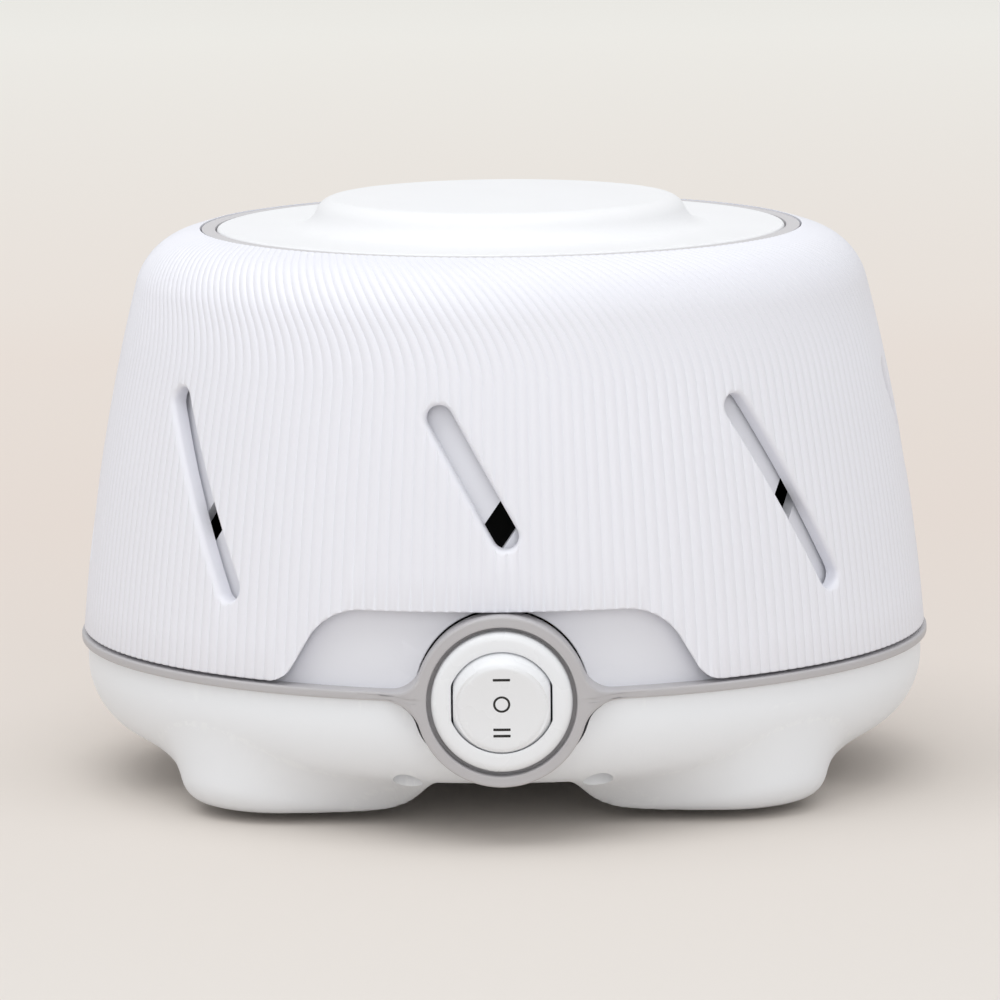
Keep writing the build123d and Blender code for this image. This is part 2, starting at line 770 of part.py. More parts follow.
def make_tone_shutter():
    low = shutter_z()
    high = low + shutter_thickness
    shutter = tube(port_outer_radius + shutter_rim, spindle_radius, low, high)
    shutter -= cap_ports(cap_travel, low, high)
    stop = sector(stop_radius, stop_radius + stop_width, stop_angle, 0, low - stop_depth, low)
    return shutter + stop


def make_cap_washer():
    high = hub_under_z - cap_gap
    return tube(cap_washer_radius, cap_screw_radius + thread_gap, high - cap_washer_thickness, high)


def make_cap_screw():
    seat = hub_under_z - cap_gap - cap_washer_thickness
    head = disc(cap_screw_head, seat - cap_screw_head_height, seat)
    return head + disc(cap_screw_radius, seat, hub_under_z - cap_gap + cap_screw_length)


# ================================================================ fan chamber
def make_fan_chamber():
    inner = chamber_radius - chamber_wall
    floor_top = chamber_floor_z + chamber_floor
    drum = tube(chamber_radius, inner, chamber_bottom_z, deck_under_z)
    drum += tube(inner + chamber_wall / 2, chamber_inlet, chamber_floor_z, floor_top)
    low, high = floor_top + chamber_port_margin, deck_under_z - chamber_port_margin
    pitch = 360 / chamber_port_count
    for index in range(chamber_port_count):
        azimuth = (index + 0.5) * pitch
        drum -= sector(inner - cut_over, chamber_radius + cut_over, chamber_port_angle, azimuth, low, high)
    window_top = bezel_z + switch_barrel_radius + switch_window_margin
    drum -= block(-switch_window, switch_window, -reach, 0, 0, window_top)
    for azimuth in range(45, 360, 90):
        tab = block(-tab_width / 2, tab_width / 2, -tab_radius, -inner - chamber_wall / 2,
                    chamber_bottom_z, band_top_z)
        tab += post(0, -tab_radius, tab_width / 2, chamber_bottom_z, band_top_z)
        tab -= post(0, -tab_radius, tab_screw_radius + thread_gap, 0, reach)
        drum += Rot(Z=azimuth) * tab
    return drum


def make_chamber_screws():
    solids = []
    for azimuth in range(45, 360, 90):
        x, y = at_azimuth(tab_radius, azimuth)
        tip = chamber_bottom_z + tab_screw_length
        head = post(x, y, tab_screw_head, chamber_bottom_z - tab_screw_head_height, chamber_bottom_z)
        solids.append(head + post(x, y, tab_screw_radius, chamber_bottom_z, tip))
    return group(solids)


# ================================================================ motor
def screw_points():
    return [(0, -motor_screw_offset), (0, motor_screw_offset)]


def make_mount_plate():
    outline = RectangleRounded(plate_size, plate_size, plate_corner)
    plate = Pos(0, 0, plate_z) * extrude(outline, plate_thickness)
    plate -= disc(plate_hole, 0, reach)
    plate -= [post(x, y, grommet_neck, 0, reach) for x, y in corners(mount_offset)]
    return plate - [post(x, y, motor_screw_radius + thread_gap, 0, reach) for x, y in screw_points()]


def make_rubber_grommets():
    solids = []
    for x, y in corners(mount_offset):
        low, high = plate_z - grommet_flange, plate_top_z + grommet_flange
        grommet = post(x, y, grommet_radius, low, plate_z) + post(x, y, grommet_neck, plate_z, plate_top_z)
        grommet += post(x, y, grommet_radius, plate_top_z, high)
        solids.append(grommet - post(x, y, grommet_bore, low, high))
    return group(solids)


def make_mount_screws():
    seat = plate_top_z + grommet_flange
    tip = plate_z - grommet_flange - mount_screw_grip + thread_gap
    solids = []
    for x, y in corners(mount_offset):
        head = post(x, y, mount_screw_head, seat, seat + mount_screw_head_height)
        solids.append(head + post(x, y, mount_screw_radius, tip, seat))
    return group(solids)


def make_stator_stack():
    stack = block(-stack_back, stack_reach, -stack_half_width, stack_half_width, stack_z, stack_top_z)
    leg_inner = stack_half_width - stack_leg
    stack -= block(stack_back, stack_reach, -leg_inner, leg_inner, stack_z, stack_top_z)
    stack -= disc(rotor_radius + air_gap, stack_z, stack_top_z)
    stack -= [post(x, y, motor_screw_radius + thread_gap, 0, reach) for x, y in screw_points()]
    slot = shading_bar / 2 + thread_gap
    for side in (-1, 1):
        x, y = -side * shading_x, side * shading_inner
        stack -= block(x - slot, x + slot, y - slot, y + slot, stack_z, stack_top_z)
    return stack


def make_coil_core():
    leg_inner = stack_half_width - stack_leg
    return block(stack_reach - stack_leg, stack_reach, -leg_inner, leg_inner, stack_z, stack_top_z)


def make_shading_rings():
    half = shading_bar / 2
    outer_y = stack_half_width + half + thread_gap
    solids = []
    for side in (-1, 1):
        x = -side * shading_x
        low, high = stack_z - shading_bar, stack_top_z + shading_bar
        y0, y1 = sorted((side * shading_inner, side * outer_y))
        loop = block(x - half, x + half, y0 - half, y1 + half, low, high)
        loop -= block(x - shading_bar, x + shading_bar, y0 + half, y1 - half, stack_z, stack_top_z)
        solids.append(loop)
    return group(solids)


def core_box(grow, half_length):
    """Box round the coil core, grown in X and Z."""
    x0, x1 = stack_reach - stack_leg, stack_reach
    return block(x0 - grow, x1 + grow, -half_length, half_length, stack_z - grow, stack_top_z + grow)


def make_coil_bobbin():
    half = bobbin_length / 2
    wall = core_play + bobbin_wall
    bobbin = core_box(wall, half)
    for side in (-1, 1):
        flange = core_box(core_play + bobbin_flange_height, half) & block(
            0, reach, *sorted((side * half, side * (half - bobbin_wall))), 0, reach
        )
        bobbin += flange
    return bobbin - core_box(core_play, reach)


def make_motor_coil():
    half = bobbin_length / 2 - bobbin_wall
    winding = core_box(core_play + bobbin_wall + coil_height - bobbin_wall, half)
    winding = fillet(winding.edges().filter_by(Axis.Y), coil_height - bobbin_wall)
    return winding - core_box(core_play + bobbin_wall, reach)


def bracket(face, side):
    """Bearing bracket on one face of the stack; side is +1 above it and -1 below."""
    strap_near = face + side * bracket_offset
    strap_far = strap_near + side * bracket_thickness
    cup_near = face + side * cup_start
    cup_far = cup_near + side * bracket_cup
    half = motor_screw_offset
    strap = block(-bracket_width / 2, bracket_width / 2, -half, half, *sorted((strap_near, strap_far)))
    for x, y in screw_points():
        strap += post(x, y, bracket_width / 2, *sorted((strap_near, strap_far)))
        strap += post(x, y, bracket_post, *sorted((face, strap_near)))
    strap += disc(bearing_radius + bracket_thickness, *sorted((cup_near, cup_far)))
    strap -= disc(bearing_radius, 0, reach)
    return strap - [post(x, y, motor_screw_radius + thread_gap, 0, reach) for x, y in screw_points()]


def make_upper_bracket():
    return bracket(stack_top_z, 1)


def make_lower_bracket():
    return bracket(stack_z, -1)


def bearing(face, side):
    near = face + side * cup_start
    return tube(bearing_radius, shaft_radius + shaft_fit, *sorted((near, near + side * bearing_length)))


def make_upper_bearing():
    return bearing(stack_top_z, 1)


def make_lower_bearing():
    return bearing(stack_z, -1)


def make_motor_rotor():
    return tube(rotor_radius, shaft_radius, stack_z, stack_top_z)


def make_motor_shaft():
    low = stack_z - cup_start - bearing_length - shaft_below
    return disc(shaft_radius, low, wheel_hub_top_z + shaft_end)


def make_thrust_washers():
    upper = tube(washer_radius, shaft_radius, stack_top_z, stack_top_z + washer_thickness)
    lower = tube(washer_radius, shaft_radius, stack_z - washer_thickness, stack_z)
    return group([upper, lower])


def make_motor_screws():
    seat = stack_top_z + bracket_offset + bracket_thickness
    tip = plate_z - nut_height
    solids = []
    for x, y in screw_points():
        head = post(x, y, motor_screw_head, seat, seat + motor_screw_head_height)
        solids.append(head + post(x, y, motor_screw_radius, tip, seat))
    return group(solids)


def make_motor_nuts():
    solids = []
    for x, y in screw_points():
        hexagon = RegularPolygon(nut_across_flats / 2, 6, major_radius=False)
        nut = Pos(x, y, plate_z - nut_height) * extrude(hexagon, nut_height)
        solids.append(nut - post(x, y, motor_screw_radius + thread_gap, 0, reach))
    return group(solids)


def make_motor_leads():
    """Three leads from the switch blades over the stack to the bobbin's flange."""
    start_y = panel_y + switch_barrel_length + blade_length
    end_y = -bobbin_length / 2
    end_z = stack_top_z + lead_rise
    middle_x = stack_reach - stack_leg
    solids = []
    for step in (-1, 0, 1):
        start_z = bezel_z + step * blade_pitch
        end_x = middle_x - step * lead_pitch
        path = FilletPolyline(
            (0, start_y, start_z),
            (0, start_y + lead_straight, start_z),
            (end_x, -stack_half_width - lead_side, end_z),
            (end_x, end_y, end_z),
            radius=lead_bend,
        )
        section = Plane(origin=path @ 0, z_dir=path % 0) * Circle(lead_radius)
        solids.append(sweep(section, path))
    return group(solids)


# ================================================================ fan wheel
def make_fan_wheel():
    plate_top = wheel_z + wheel_plate
    wheel = disc(wheel_radius, wheel_z, plate_top) + disc(wheel_hub_radius, wheel_z, wheel_hub_top_z)
    half = fan_blade_thickness / 2
    for index in range(blade_count):
        blade = block(-half, half, -wheel_radius + half, -fan_blade_inner, plate_top, wheel_top_z)
        wheel += Rot(Z=index * 360 / blade_count) * blade
    return wheel - disc(shaft_radius, 0, reach)


def make_wheel_clip():
    return tube(clip_radius, shaft_radius, wheel_hub_top_z, wheel_hub_top_z + clip_thickness)


# ================================================================ cord gland
def make_cord_gland():
    seat_inner = gland_seat - gland_wall
    gland = rod_y(gland_flange_radius, gland_seat, gland_seat + gland_flange_height, gland_z())
    gland += rod_y(gland_neck, seat_inner, gland_seat, gland_z())
    gland += rod_y(gland_inner_radius, seat_inner - gland_inner_flange, seat_inner, gland_z())
    return gland - rod_y(gland_bore, 0, reach, gland_z())


NODES = {
    "base_shell": make_base_shell,
    "rubber_feet": make_rubber_feet,
    "case_screws": make_case_screws,
    "trim_band": make_trim_band,
    "switch_body": make_switch_body,
    "switch_rocker": make_switch_rocker,
    "switch_terminals": make_switch_terminals,
    "outer_shell": make_outer_shell,
    "inner_housing": make_inner_housing,
    "top_ring": make_top_ring,
    "glide_ring": make_glide_ring,
    "top_cap": make_top_cap,
    "tone_shutter": make_tone_shutter,
    "cap_washer": make_cap_washer,
    "cap_screw": make_cap_screw,
    "fan_chamber": make_fan_chamber,
    "chamber_screws": make_chamber_screws,
    "mount_plate": make_mount_plate,
    "rubber_grommets": make_rubber_grommets,
    "mount_screws": make_mount_screws,
    "stator_stack": make_stator_stack,
    "coil_core": make_coil_core,
    "shading_rings": make_shading_rings,
    "coil_bobbin": make_coil_bobbin,
    "motor_coil": make_motor_coil,
    "upper_bracket": make_upper_bracket,
    "lower_bracket": make_lower_bracket,
    "upper_bearing": make_upper_bearing,
    "lower_bearing": make_lower_bearing,
    "motor_rotor": make_motor_rotor,
    "motor_shaft": make_motor_shaft,
    "thrust_washers": make_thrust_washers,
    "motor_screws": make_motor_screws,
    "motor_nuts": make_motor_nuts,
    "motor_leads": make_motor_leads,
    "fan_wheel": make_fan_wheel,
    "wheel_clip": make_wheel_clip,
    "cord_gland": make_cord_gland,
}

os.makedirs("parts", exist_ok=True)
for name, make in NODES.items():
    export_step(make(), f"parts/{name}.step")
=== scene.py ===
"""Looks of a white noise sound machine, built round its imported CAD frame.

Shapes are worked out in millimetres in the CAD frame and turned into metres when a piece is made.
Azimuths are in degrees from the front (-Y) towards +X; leans and slopes are in degrees as well.
"""

import json
from math import asin, atan, cos, degrees, radians, sin, sqrt, tan

import bmesh
import bpy
import numpy as np
from mathutils import Matrix, Vector


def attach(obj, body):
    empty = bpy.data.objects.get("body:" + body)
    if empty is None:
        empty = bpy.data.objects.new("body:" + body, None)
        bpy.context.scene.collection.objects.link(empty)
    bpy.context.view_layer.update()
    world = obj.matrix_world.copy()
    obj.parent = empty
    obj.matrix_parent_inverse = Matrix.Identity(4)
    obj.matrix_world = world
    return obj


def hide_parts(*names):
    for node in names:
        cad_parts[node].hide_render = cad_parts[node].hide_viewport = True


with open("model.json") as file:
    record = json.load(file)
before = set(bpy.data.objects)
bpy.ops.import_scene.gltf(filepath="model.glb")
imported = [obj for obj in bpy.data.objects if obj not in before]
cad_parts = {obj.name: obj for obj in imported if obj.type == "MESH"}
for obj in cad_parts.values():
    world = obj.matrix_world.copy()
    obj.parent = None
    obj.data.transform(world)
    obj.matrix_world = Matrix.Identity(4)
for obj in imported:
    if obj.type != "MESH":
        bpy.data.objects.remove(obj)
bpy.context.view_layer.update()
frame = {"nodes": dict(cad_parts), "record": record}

MM_PER_M = 1000

# ---------------------------------------------------------------- shell, mm
WALL_CENTRE = (-276.217, -2.8467)
WALL_RADIUS = 347.335
WALL_END = 14.198           # lean of the wall where the shoulder starts
SHOULDER_CENTRE = (49.553, 79.577)
SHOULDER_RADIUS = 11.3
SHOULDER_END = 73.3         # lean of the skin where it runs straight on to the mouth
SKIN_LENGTH = 72.98         # along the skin, from the lower edge to the mouth
SHELL_BOTTOM = 25.0
SHELL_EDGE = 0.35           # rounding of the lower edge
SHELL_WALL = 2.8
MOUTH = (49.8, 91.3)
LIP_RADIUS, LIP_TOP, LIP_UNDER = 48.7, 88.9, 87.2

RIB_COUNT = 224
RIB_START = 0.84            # azimuth of a valley at the lower edge
RIB_DEPTH = 0.28            # at the radius that follows
RIB_RADIUS = 70.0
RIB_STEPS = (0.0, 0.08, 0.25, 0.5, 0.75, 0.92)
SWIRL_START, SWIRL_FULL = 47.0, 57.0        # along the skin
SWIRL_ANGLE, SWIRL_END_ANGLE = 32.0, 34.0   # lean of the ribs there and at the mouth

SLOT_COUNT = 8
SLOT_WIDTH = 4.2
SLOT_LEAN = 29.8
SLOT_FILLET = 1.15
SLOT_TOP, SLOT_LOW, FRONT_SLOT_LOW = 67.15, 38.9, 48.9      # heights of the end centres
SLOT_AZIMUTH = -8.44        # of the front slot's top
NOTCH_AZIMUTH = -1.09
NOTCH_TOP, NOTCH_FLAT = 37.15, 20.79
NOTCH_RADIUS, NOTCH_FOOT = 10.0, 5.0        # upper and lower rounding of its flank
NOTCH_SLOPE = 60.0
NOTCH_FILLET, NOTCH_TIP_FILLET, NOTCH_FILLET_RUN = 0.5, 0.03, 4.0

# ---------------------------------------------------------------- base, mm
BASE_FLOOR, BELLY = 1.5, 8.5
RIM_RADIUS = 69.4
BOWL_CENTRE, BOWL_RADIUS = (56.8, 20.0), 12.6
FLANK = 45.0                # hollow between the bowl and a foot
FOOT_SIDE, FOOT_CORNER, FOOT_EDGE = 52.5, 16.6, 5.0
ARCH_HALF, ARCH_SPREAD = 10.3, 3.59
ARCH_BLEND, EDGE_BLEND = 1.6, 0.7
SKIN_SINK = 0.03            # keeps the skin inside the CAD box
BASE_WALL = 2.3
GLAND_Z, GLAND_SEAT, GLAND_BORE = 16, 6.35, 2.9         # height, then two radii
GLAND_SEAT_Y, GLAND_BORE_Y = (58.0, 70.0), (55.0, 76.0)
BORE_RADIUS, BORE_TOP, BORE_CIRCLE = 2.4, 15.5, 62.5
BORE_ANGLE = 14             # degrees to each side of an axis

# ---------------------------------------------------------------- trim band with the bezel, mm
BAND_RADIUS, BAND_INNER, BAND_LOW, BAND_HIGH = 70.4, 64.3, 23.1, 24.5
SWITCH_Z = 23.5
BEZEL_RADIUS = 13.6
BEZEL_FRONT, BEZEL_BACK = -72.3, -65.0
BEZEL_TAPER, TAPER_Y = 0.16, -69.2
TRIM_EDGE = 0.35
FLARE_FILLET, FLARE_DEPTH, STRIP_END = 5.0, 5.5, 27.5
PANEL_FRONT, PANEL_BACK, PANEL_HOLE = -69.9, -68.1, 10.1
HOLE_RADIUS, HOLE_MOUTH = 11.85, 12.1
SEAM_SINK = 0.06            # hides the seam between the bezel's strips and the ring
SEAM_AT, SEAM_RAMP = 22.0, 3.0              # x where the strips start to sink, and over how much
RING_START, RING_AT, RING_RAMP = 18.5, 17.5, 2.5        # start in mm, then the sinking of the ring in degrees
BEZEL_GAP, STRIP_GAP, FLARE_GAP, LOWEST_GAP, HOUSING_GAP = 0.25, 0.1, 0.6, 0.04, 0.1
BEZEL_CUT_Y, HOUSING_CUT_Y = (-64.65, -78.0), (-76.0, -58.0)

# ---------------------------------------------------------------- rocker switch, mm from its pivot
PIVOT_Y = -68.7             # of the pivot itself, which lies at the height SWITCH_Z
BARREL_HALF, BARREL_SIDE, BARREL_MIDDLE = 7.65, 4.74, 8.8
BARREL_REACH = 12.0
ROCKER_LEAN = 8.0
RIM_Y, FACE_Y, DISH_RADIUS = 5.5, -5.1, 60
ROCKER_BACK = 2.2
MARK_LIFT, MARK_DEPTH = 0.015, 0.06
BAR_WIDTH, BAR_HEIGHT, BAR_CORNER = 2.71, 0.42, 0.08
BAR_HEIGHTS = (4.74, -3.45, -4.467)
RING_Z, RING_OUTER, RING_INNER = 0.686, 1.35, 1.0
SWITCH_PLAY = 0.3
FLANGE_Y, FLANGE_BACK = -4.2, -1.2
FLANGE_FLAT, FLANGE_FILLET, FLANGE_RADIUS = 9.8, 1.35, 11.15
BODY_RADIUS, BODY_BACK = 9.9, 14.8


# ================================================================ mesh helpers
def mesh_from(name, points, faces):
    mesh = bpy.data.meshes.new(name)
    mesh.from_pydata([tuple(map(float, p)) for p in points], [], faces)
    mesh.validate()
    work = bmesh.new()
    work.from_mesh(mesh)
    bmesh.ops.recalc_face_normals(work, faces=work.faces)
    work.to_mesh(mesh)
    work.free()
    piece = bpy.data.objects.new(name, mesh)
    bpy.context.scene.collection.objects.link(piece)
    return piece


def loft(rings, loop=False, start=None, end=None):
    """Points and faces of a skin over closed rings of equal length.

    start and end are poles; loop joins the last ring to the first.
    """
    rings = [np.asarray(ring, float) for ring in rings]
    count = len(rings[0])
    points = [tuple(p) for ring in rings for p in ring]
    pairs = list(zip(range(len(rings) - 1), range(1, len(rings))))
    if loop:
        pairs.append((len(rings) - 1, 0))
    faces = []
    for a, b in pairs:
        for j in range(count):
            k = (j + 1) % count
            faces.append((a * count + j, a * count + k, b * count + k, b * count + j))
    for pole, row in ((start, 0), (end, len(rings) - 1)):
        if pole is not None:
            points.append(tuple(pole))
            tip, first = len(points) - 1, row * count
            faces += [(first + j, first + (j + 1) % count, tip) for j in range(count)]
    return points, faces


def capped(rings):
    """Skin over rings, closed by its first and last ring."""
    points, faces = loft(rings)
    count, last = len(rings[0]), len(rings) - 1
    faces.append(tuple(range(count)))
    faces.append(tuple(last * count + j for j in range(count)))
    return points, faces


def joined(*parts):
    """Points and faces of several closed skins as one."""
    points, faces = [], []
    for more_points, more_faces in parts:
        base = len(points)
        points += list(more_points)
        faces += [tuple(base + i for i in face) for face in more_faces]
    return points, faces


def boolean(piece, other, operation):
    """Cut, join or limit a piece by another, which is used up."""
    step = piece.modifiers.new("cut", "BOOLEAN")
    step.operation = operation
    step.solver = "MANIFOLD"
    step.object = other
    bpy.context.view_layer.update()
    graph = bpy.context.evaluated_depsgraph_get()
    result = bpy.data.meshes.new_from_object(piece.evaluated_get(graph))
    piece.modifiers.clear()
    old, piece.data = piece.data, result
    result.name = piece.name
    bpy.data.meshes.remove(old)
    bpy.data.objects.remove(other)


def finished(piece, body, material, replaces=(), sharp=30.0):
    """Metres, smooth shading, material, body and the nodes it stands for."""
    piece.data.transform(Matrix.Scale(1 / MM_PER_M, 4))
    piece.data.shade_smooth()
    piece.data.set_sharp_from_angle(angle=radians(sharp))
    piece.data.materials.clear()
    piece.data.materials.append(material)
    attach(piece, body)
    if replaces:
        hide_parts(*replaces)


def around(radius, azimuth, z):
    """Points at a radius, azimuth and height."""
    azimuth = np.radians(azimuth)
    radius = np.broadcast_to(radius, azimuth.shape)
    z = np.broadcast_to(z, azimuth.shape)
    return np.stack([radius * np.sin(azimuth), -radius * np.cos(azimuth), z], axis=-1)


# ================================================================ materials
def linear(*rgb):
    """Scene colour of an sRGB tone."""
    return tuple((c / 255 / 12.92 if c <= 10 else ((c / 255 + 0.055) / 1.055) ** 2.4) for c in rgb) + (1.0,)


class Nodes:
    """Short hand for one material's node tree."""

    def __init__(self, name):
        self.material = bpy.data.materials.new(name)
        self.material.use_nodes = True
        self.tree = self.material.node_tree
        self.shader = self.tree.nodes["Principled BSDF"]
        self.place = self.tree.nodes.new("ShaderNodeTexCoord").outputs["Object"]

    def add(self, kind, inputs=(), **settings):
        node = self.tree.nodes.new(kind)
        for key, value in settings.items():
            setattr(node, key, value)
        for key, value in dict(inputs).items():
            if isinstance(value, bpy.types.NodeSocket):
                self.tree.links.new(value, node.inputs[key])
            else:
                node.inputs[key].default_value = value
        return node

    def link(self, source, socket):
        self.tree.links.new(source, self.shader.inputs[socket])

    def noise(self, per_mm, detail=2.0, vector=None):
        return self.add("ShaderNodeTexNoise", {
            "Vector": vector or self.place, "Scale": per_mm * MM_PER_M, "Detail": detail,
        }).outputs["Fac"]

    def span(self, value, low, high, to_low, to_high):
        return self.add("ShaderNodeMapRange", {
            "Value": value, "From Min": low, "From Max": high, "To Min": to_low, "To Max": to_high,
        }).outputs["Result"]

    def blend(self, factor, first, second):
        node = self.add("ShaderNodeMix", data_type="RGBA")
        for index, value in ((0, factor), (6, first), (7, second)):
            if isinstance(value, bpy.types.NodeSocket):
                self.tree.links.new(value, node.inputs[index])
            else:
                node.inputs[index].default_value = value
        return node.outputs[2]

    def bump(self, height, distance_mm):
        inputs = {"Height": height, "Distance": distance_mm / MM_PER_M, "Strength": 1.0}
        return self.add("ShaderNodeBump", inputs).outputs["Normal"]

    def ramp(self, value, stops):
        """Colours by place along a value from 0 to 1."""
        node = self.add("ShaderNodeValToRGB", {"Fac": value})
        elements = node.color_ramp.elements
        elements[0].position, elements[0].color = stops[0]
        elements[1].position, elements[1].color = stops[-1]
        for place, colour in stops[1:-1]:
            elements.new(place).color = colour
        return node.outputs["Color"]


def tinted(colour, factor):
    return tuple(c * factor for c in colour[:3]) + (1.0,)


def plastic(name, colour, roughness, grain=2.2, grain_depth=0.012, edge_highlight_gain=1.05, specular=0.5):
    """Moulded plastic: faint tone drift, fine spark grain, a painted highlight on convex edges and uneven
    gloss.
    """
    n = Nodes(name)
    drift = n.noise(0.02, 3.0)
    base = n.blend(n.span(drift, 0.35, 0.65, 0.0, 1.0), tinted(colour, 0.985), colour)
    # Painted highlight: convex edges are lightened in the base colour, as if they caught the light.
    edge = n.add("ShaderNodeNewGeometry").outputs["Pointiness"]
    painted_highlight_mask = n.span(edge, 0.54, 0.62, 0.0, 0.5)
    painted_highlight_colour = tuple(min(1.0, c * edge_highlight_gain) for c in colour[:3]) + (1.0,)
    n.link(n.blend(painted_highlight_mask, base, painted_highlight_colour), "Base Color")
    fine = n.noise(grain, 2.0)
    n.link(n.span(n.noise(0.15, 2.0), 0.3, 0.7, roughness - 0.04, roughness + 0.04), "Roughness")
    n.link(n.bump(fine, grain_depth), "Normal")
    n.shader.inputs["Specular IOR Level"].default_value = specular
    return n.material


def metal(name, colour, roughness, stretch):
    """Plated or drawn metal: fine drawn lines, blotchy gloss, brighter edges painted on as a highlight."""
    n = Nodes(name)
    drawn = n.add("ShaderNodeMapping", {"Vector": n.place, "Scale": stretch}).outputs["Vector"]
    lines = n.noise(1.2, 4.0, drawn)
    blotch = n.noise(0.12, 3.0)
    base = n.blend(n.span(blotch, 0.3, 0.7, 0.0, 1.0), tinted(colour, 0.86), colour)
    edge = n.add("ShaderNodeNewGeometry").outputs["Pointiness"]
    # Painted highlight: convex edges are lightened in the base colour.
    n.link(n.blend(n.span(edge, 0.53, 0.6, 0.0, 0.6), base, tinted(colour, 1.15)), "Base Color")
    n.link(n.span(lines, 0.3, 0.7, roughness - 0.07, roughness + 0.07), "Roughness")
    n.link(n.bump(lines, 0.01), "Normal")
    n.shader.inputs["Metallic"].default_value = 1.0
    return n.material


def rubber(name, colour, roughness=0.75):
    """Soft skin with pale dust in patches."""
    n = Nodes(name)
    dust = n.noise(0.25, 4.0)
    n.link(n.blend(n.span(dust, 0.45, 0.75, 0.0, 0.35), colour, tinted(colour, 1.35)), "Base Color")
    n.link(n.span(n.noise(0.6, 2.0), 0.3, 0.7, roughness - 0.08, roughness + 0.08), "Roughness")
    n.link(n.bump(n.noise(3.5, 3.0), 0.02), "Normal")
    return n.material


def banded(name, colour, dark, per_mm, axis, depth, metallic, roughness):
    """Stacked sheets or laid wire: fine bands across an axis."""
    n = Nodes(name)
    wave = n.add("ShaderNodeTexWave", {
        "Vector": n.place, "Scale": per_mm * MM_PER_M / 2, "Distortion": 0.4, "Detail": 1.0,
    }, wave_type="BANDS", bands_direction=axis, wave_profile="SIN").outputs["Fac"]
    stain = n.noise(0.1, 3.0)
    lit = n.blend(n.span(stain, 0.35, 0.7, 0.0, 0.5), colour, tinted(colour, 0.8))
    n.link(n.blend(wave, dark, lit), "Base Color")
    n.link(n.span(stain, 0.3, 0.7, roughness - 0.06, roughness + 0.08), "Roughness")
    n.link(n.bump(wave, depth), "Normal")
    n.shader.inputs["Metallic"].default_value = metallic
    return n.material


def porous(name, colour, roughness):
    """Sintered metal: open pores and an oily tone."""
    n = Nodes(name)
    pores = n.add("ShaderNodeTexVoronoi", {"Vector": n.place, "Scale": 5.2 * MM_PER_M}).outputs["Distance"]
    n.link(n.blend(n.span(pores, 0.1, 0.45, 0.0, 1.0), tinted(colour, 0.45), colour), "Base Color")
    n.link(n.span(n.noise(0.3), 0.3, 0.7, roughness - 0.08, roughness + 0.05), "Roughness")
    n.link(n.bump(pores, 0.02), "Normal")
    n.shader.inputs["Metallic"].default_value = 1.0
    return n.material


def felted(name, colour):
    """Pressed wool: matted fibres and a soft sheen."""
    n = Nodes(name)
    fibres = n.noise(1.6, 8.0, n.add("ShaderNodeMapping", {
        "Vector": n.place, "Scale": (1.0, 1.0, 3.0),
    }).outputs["Vector"])
    matted = n.span(fibres, 0.35, 0.65, 0.0, 1.0)
    n.link(n.blend(matted, tinted(colour, 0.7), tinted(colour, 1.1)), "Base Color")
    n.link(n.bump(fibres, 0.12), "Normal")
    n.shader.inputs["Roughness"].default_value = 0.95
    n.shader.inputs["Sheen Weight"].default_value = 0.3
    return n.material


MATERIALS = {
    "shell_white": plastic("shell_plastic", linear(240, 241, 248), 0.42),
    "housing_white": plastic("housing_plastic", linear(236, 237, 243), 0.45),
    "base_white": plastic("base_plastic", linear(244, 247, 251), 0.4),
    "cap_white": plastic("cap_plastic", linear(245, 246, 248), 0.46, grain=1.6, grain_depth=0.02),
    "trim_grey": plastic("trim_plastic", linear(190, 188, 190), 0.44, edge_highlight_gain=1.12),
    "switch_white": plastic("switch_nylon", linear(241, 243, 246), 0.28, grain=3.0, grain_depth=0.006),
    "black_plastic": plastic("black_polypropylene", linear(22, 22, 22), 0.6, edge_highlight_gain=1.8, specular=0.3),
    "nylon_natural": plastic("natural_nylon", linear(226, 218, 196), 0.4, grain=1.2, grain_depth=0.02),
    "rubber": rubber("grey_rubber", linear(120, 120, 120)),
    "felt": felted("wool_felt", linear(205, 203, 198)),
    "steel": metal("plated_steel", linear(200, 200, 204), 0.3, (1.0, 1.0, 6.0)),
    "lamination": banded(
        "stamped_laminations", linear(118, 118, 122), linear(58, 58, 62), 2.0, "Z", 0.04, 0.8, 0.45,
    ),
    "bronze": porous("sintered_bronze", linear(196, 148, 88), 0.42),
    "copper": banded(
        "enamelled_copper", linear(206, 116, 62), linear(96, 44, 20), 3.0, "Y", 0.06, 0.9, 0.28,
    ),
    "lead_jacket": rubber("lead_insulation", linear(226, 225, 216), 0.5),
}
MARK_INK = plastic("mark_ink", linear(20, 18, 18), 0.5, grain=4.0, grain_depth=0.003, edge_highlight_gain=1.5)
RING_GREY = plastic("ring_plastic", linear(202, 200, 202), 0.44, edge_highlight_gain=1.1)

for row in frame["record"]["subparts"]:
    node = frame["nodes"][row["node"]]
    look = RING_GREY if row["node"] == "top_ring" else MATERIALS[row["material_slot"]]
    if not node.material_slots:
        node.data.materials.append(look)
    for place in node.material_slots:
        place.material = look


# ================================================================ skin of the shell
def wall_r(z, inset=0.0):
    """Radius of the wall at a height."""
    return WALL_CENTRE[0] + np.sqrt((WALL_RADIUS - inset) ** 2 - (z - WALL_CENTRE[1]) ** 2)


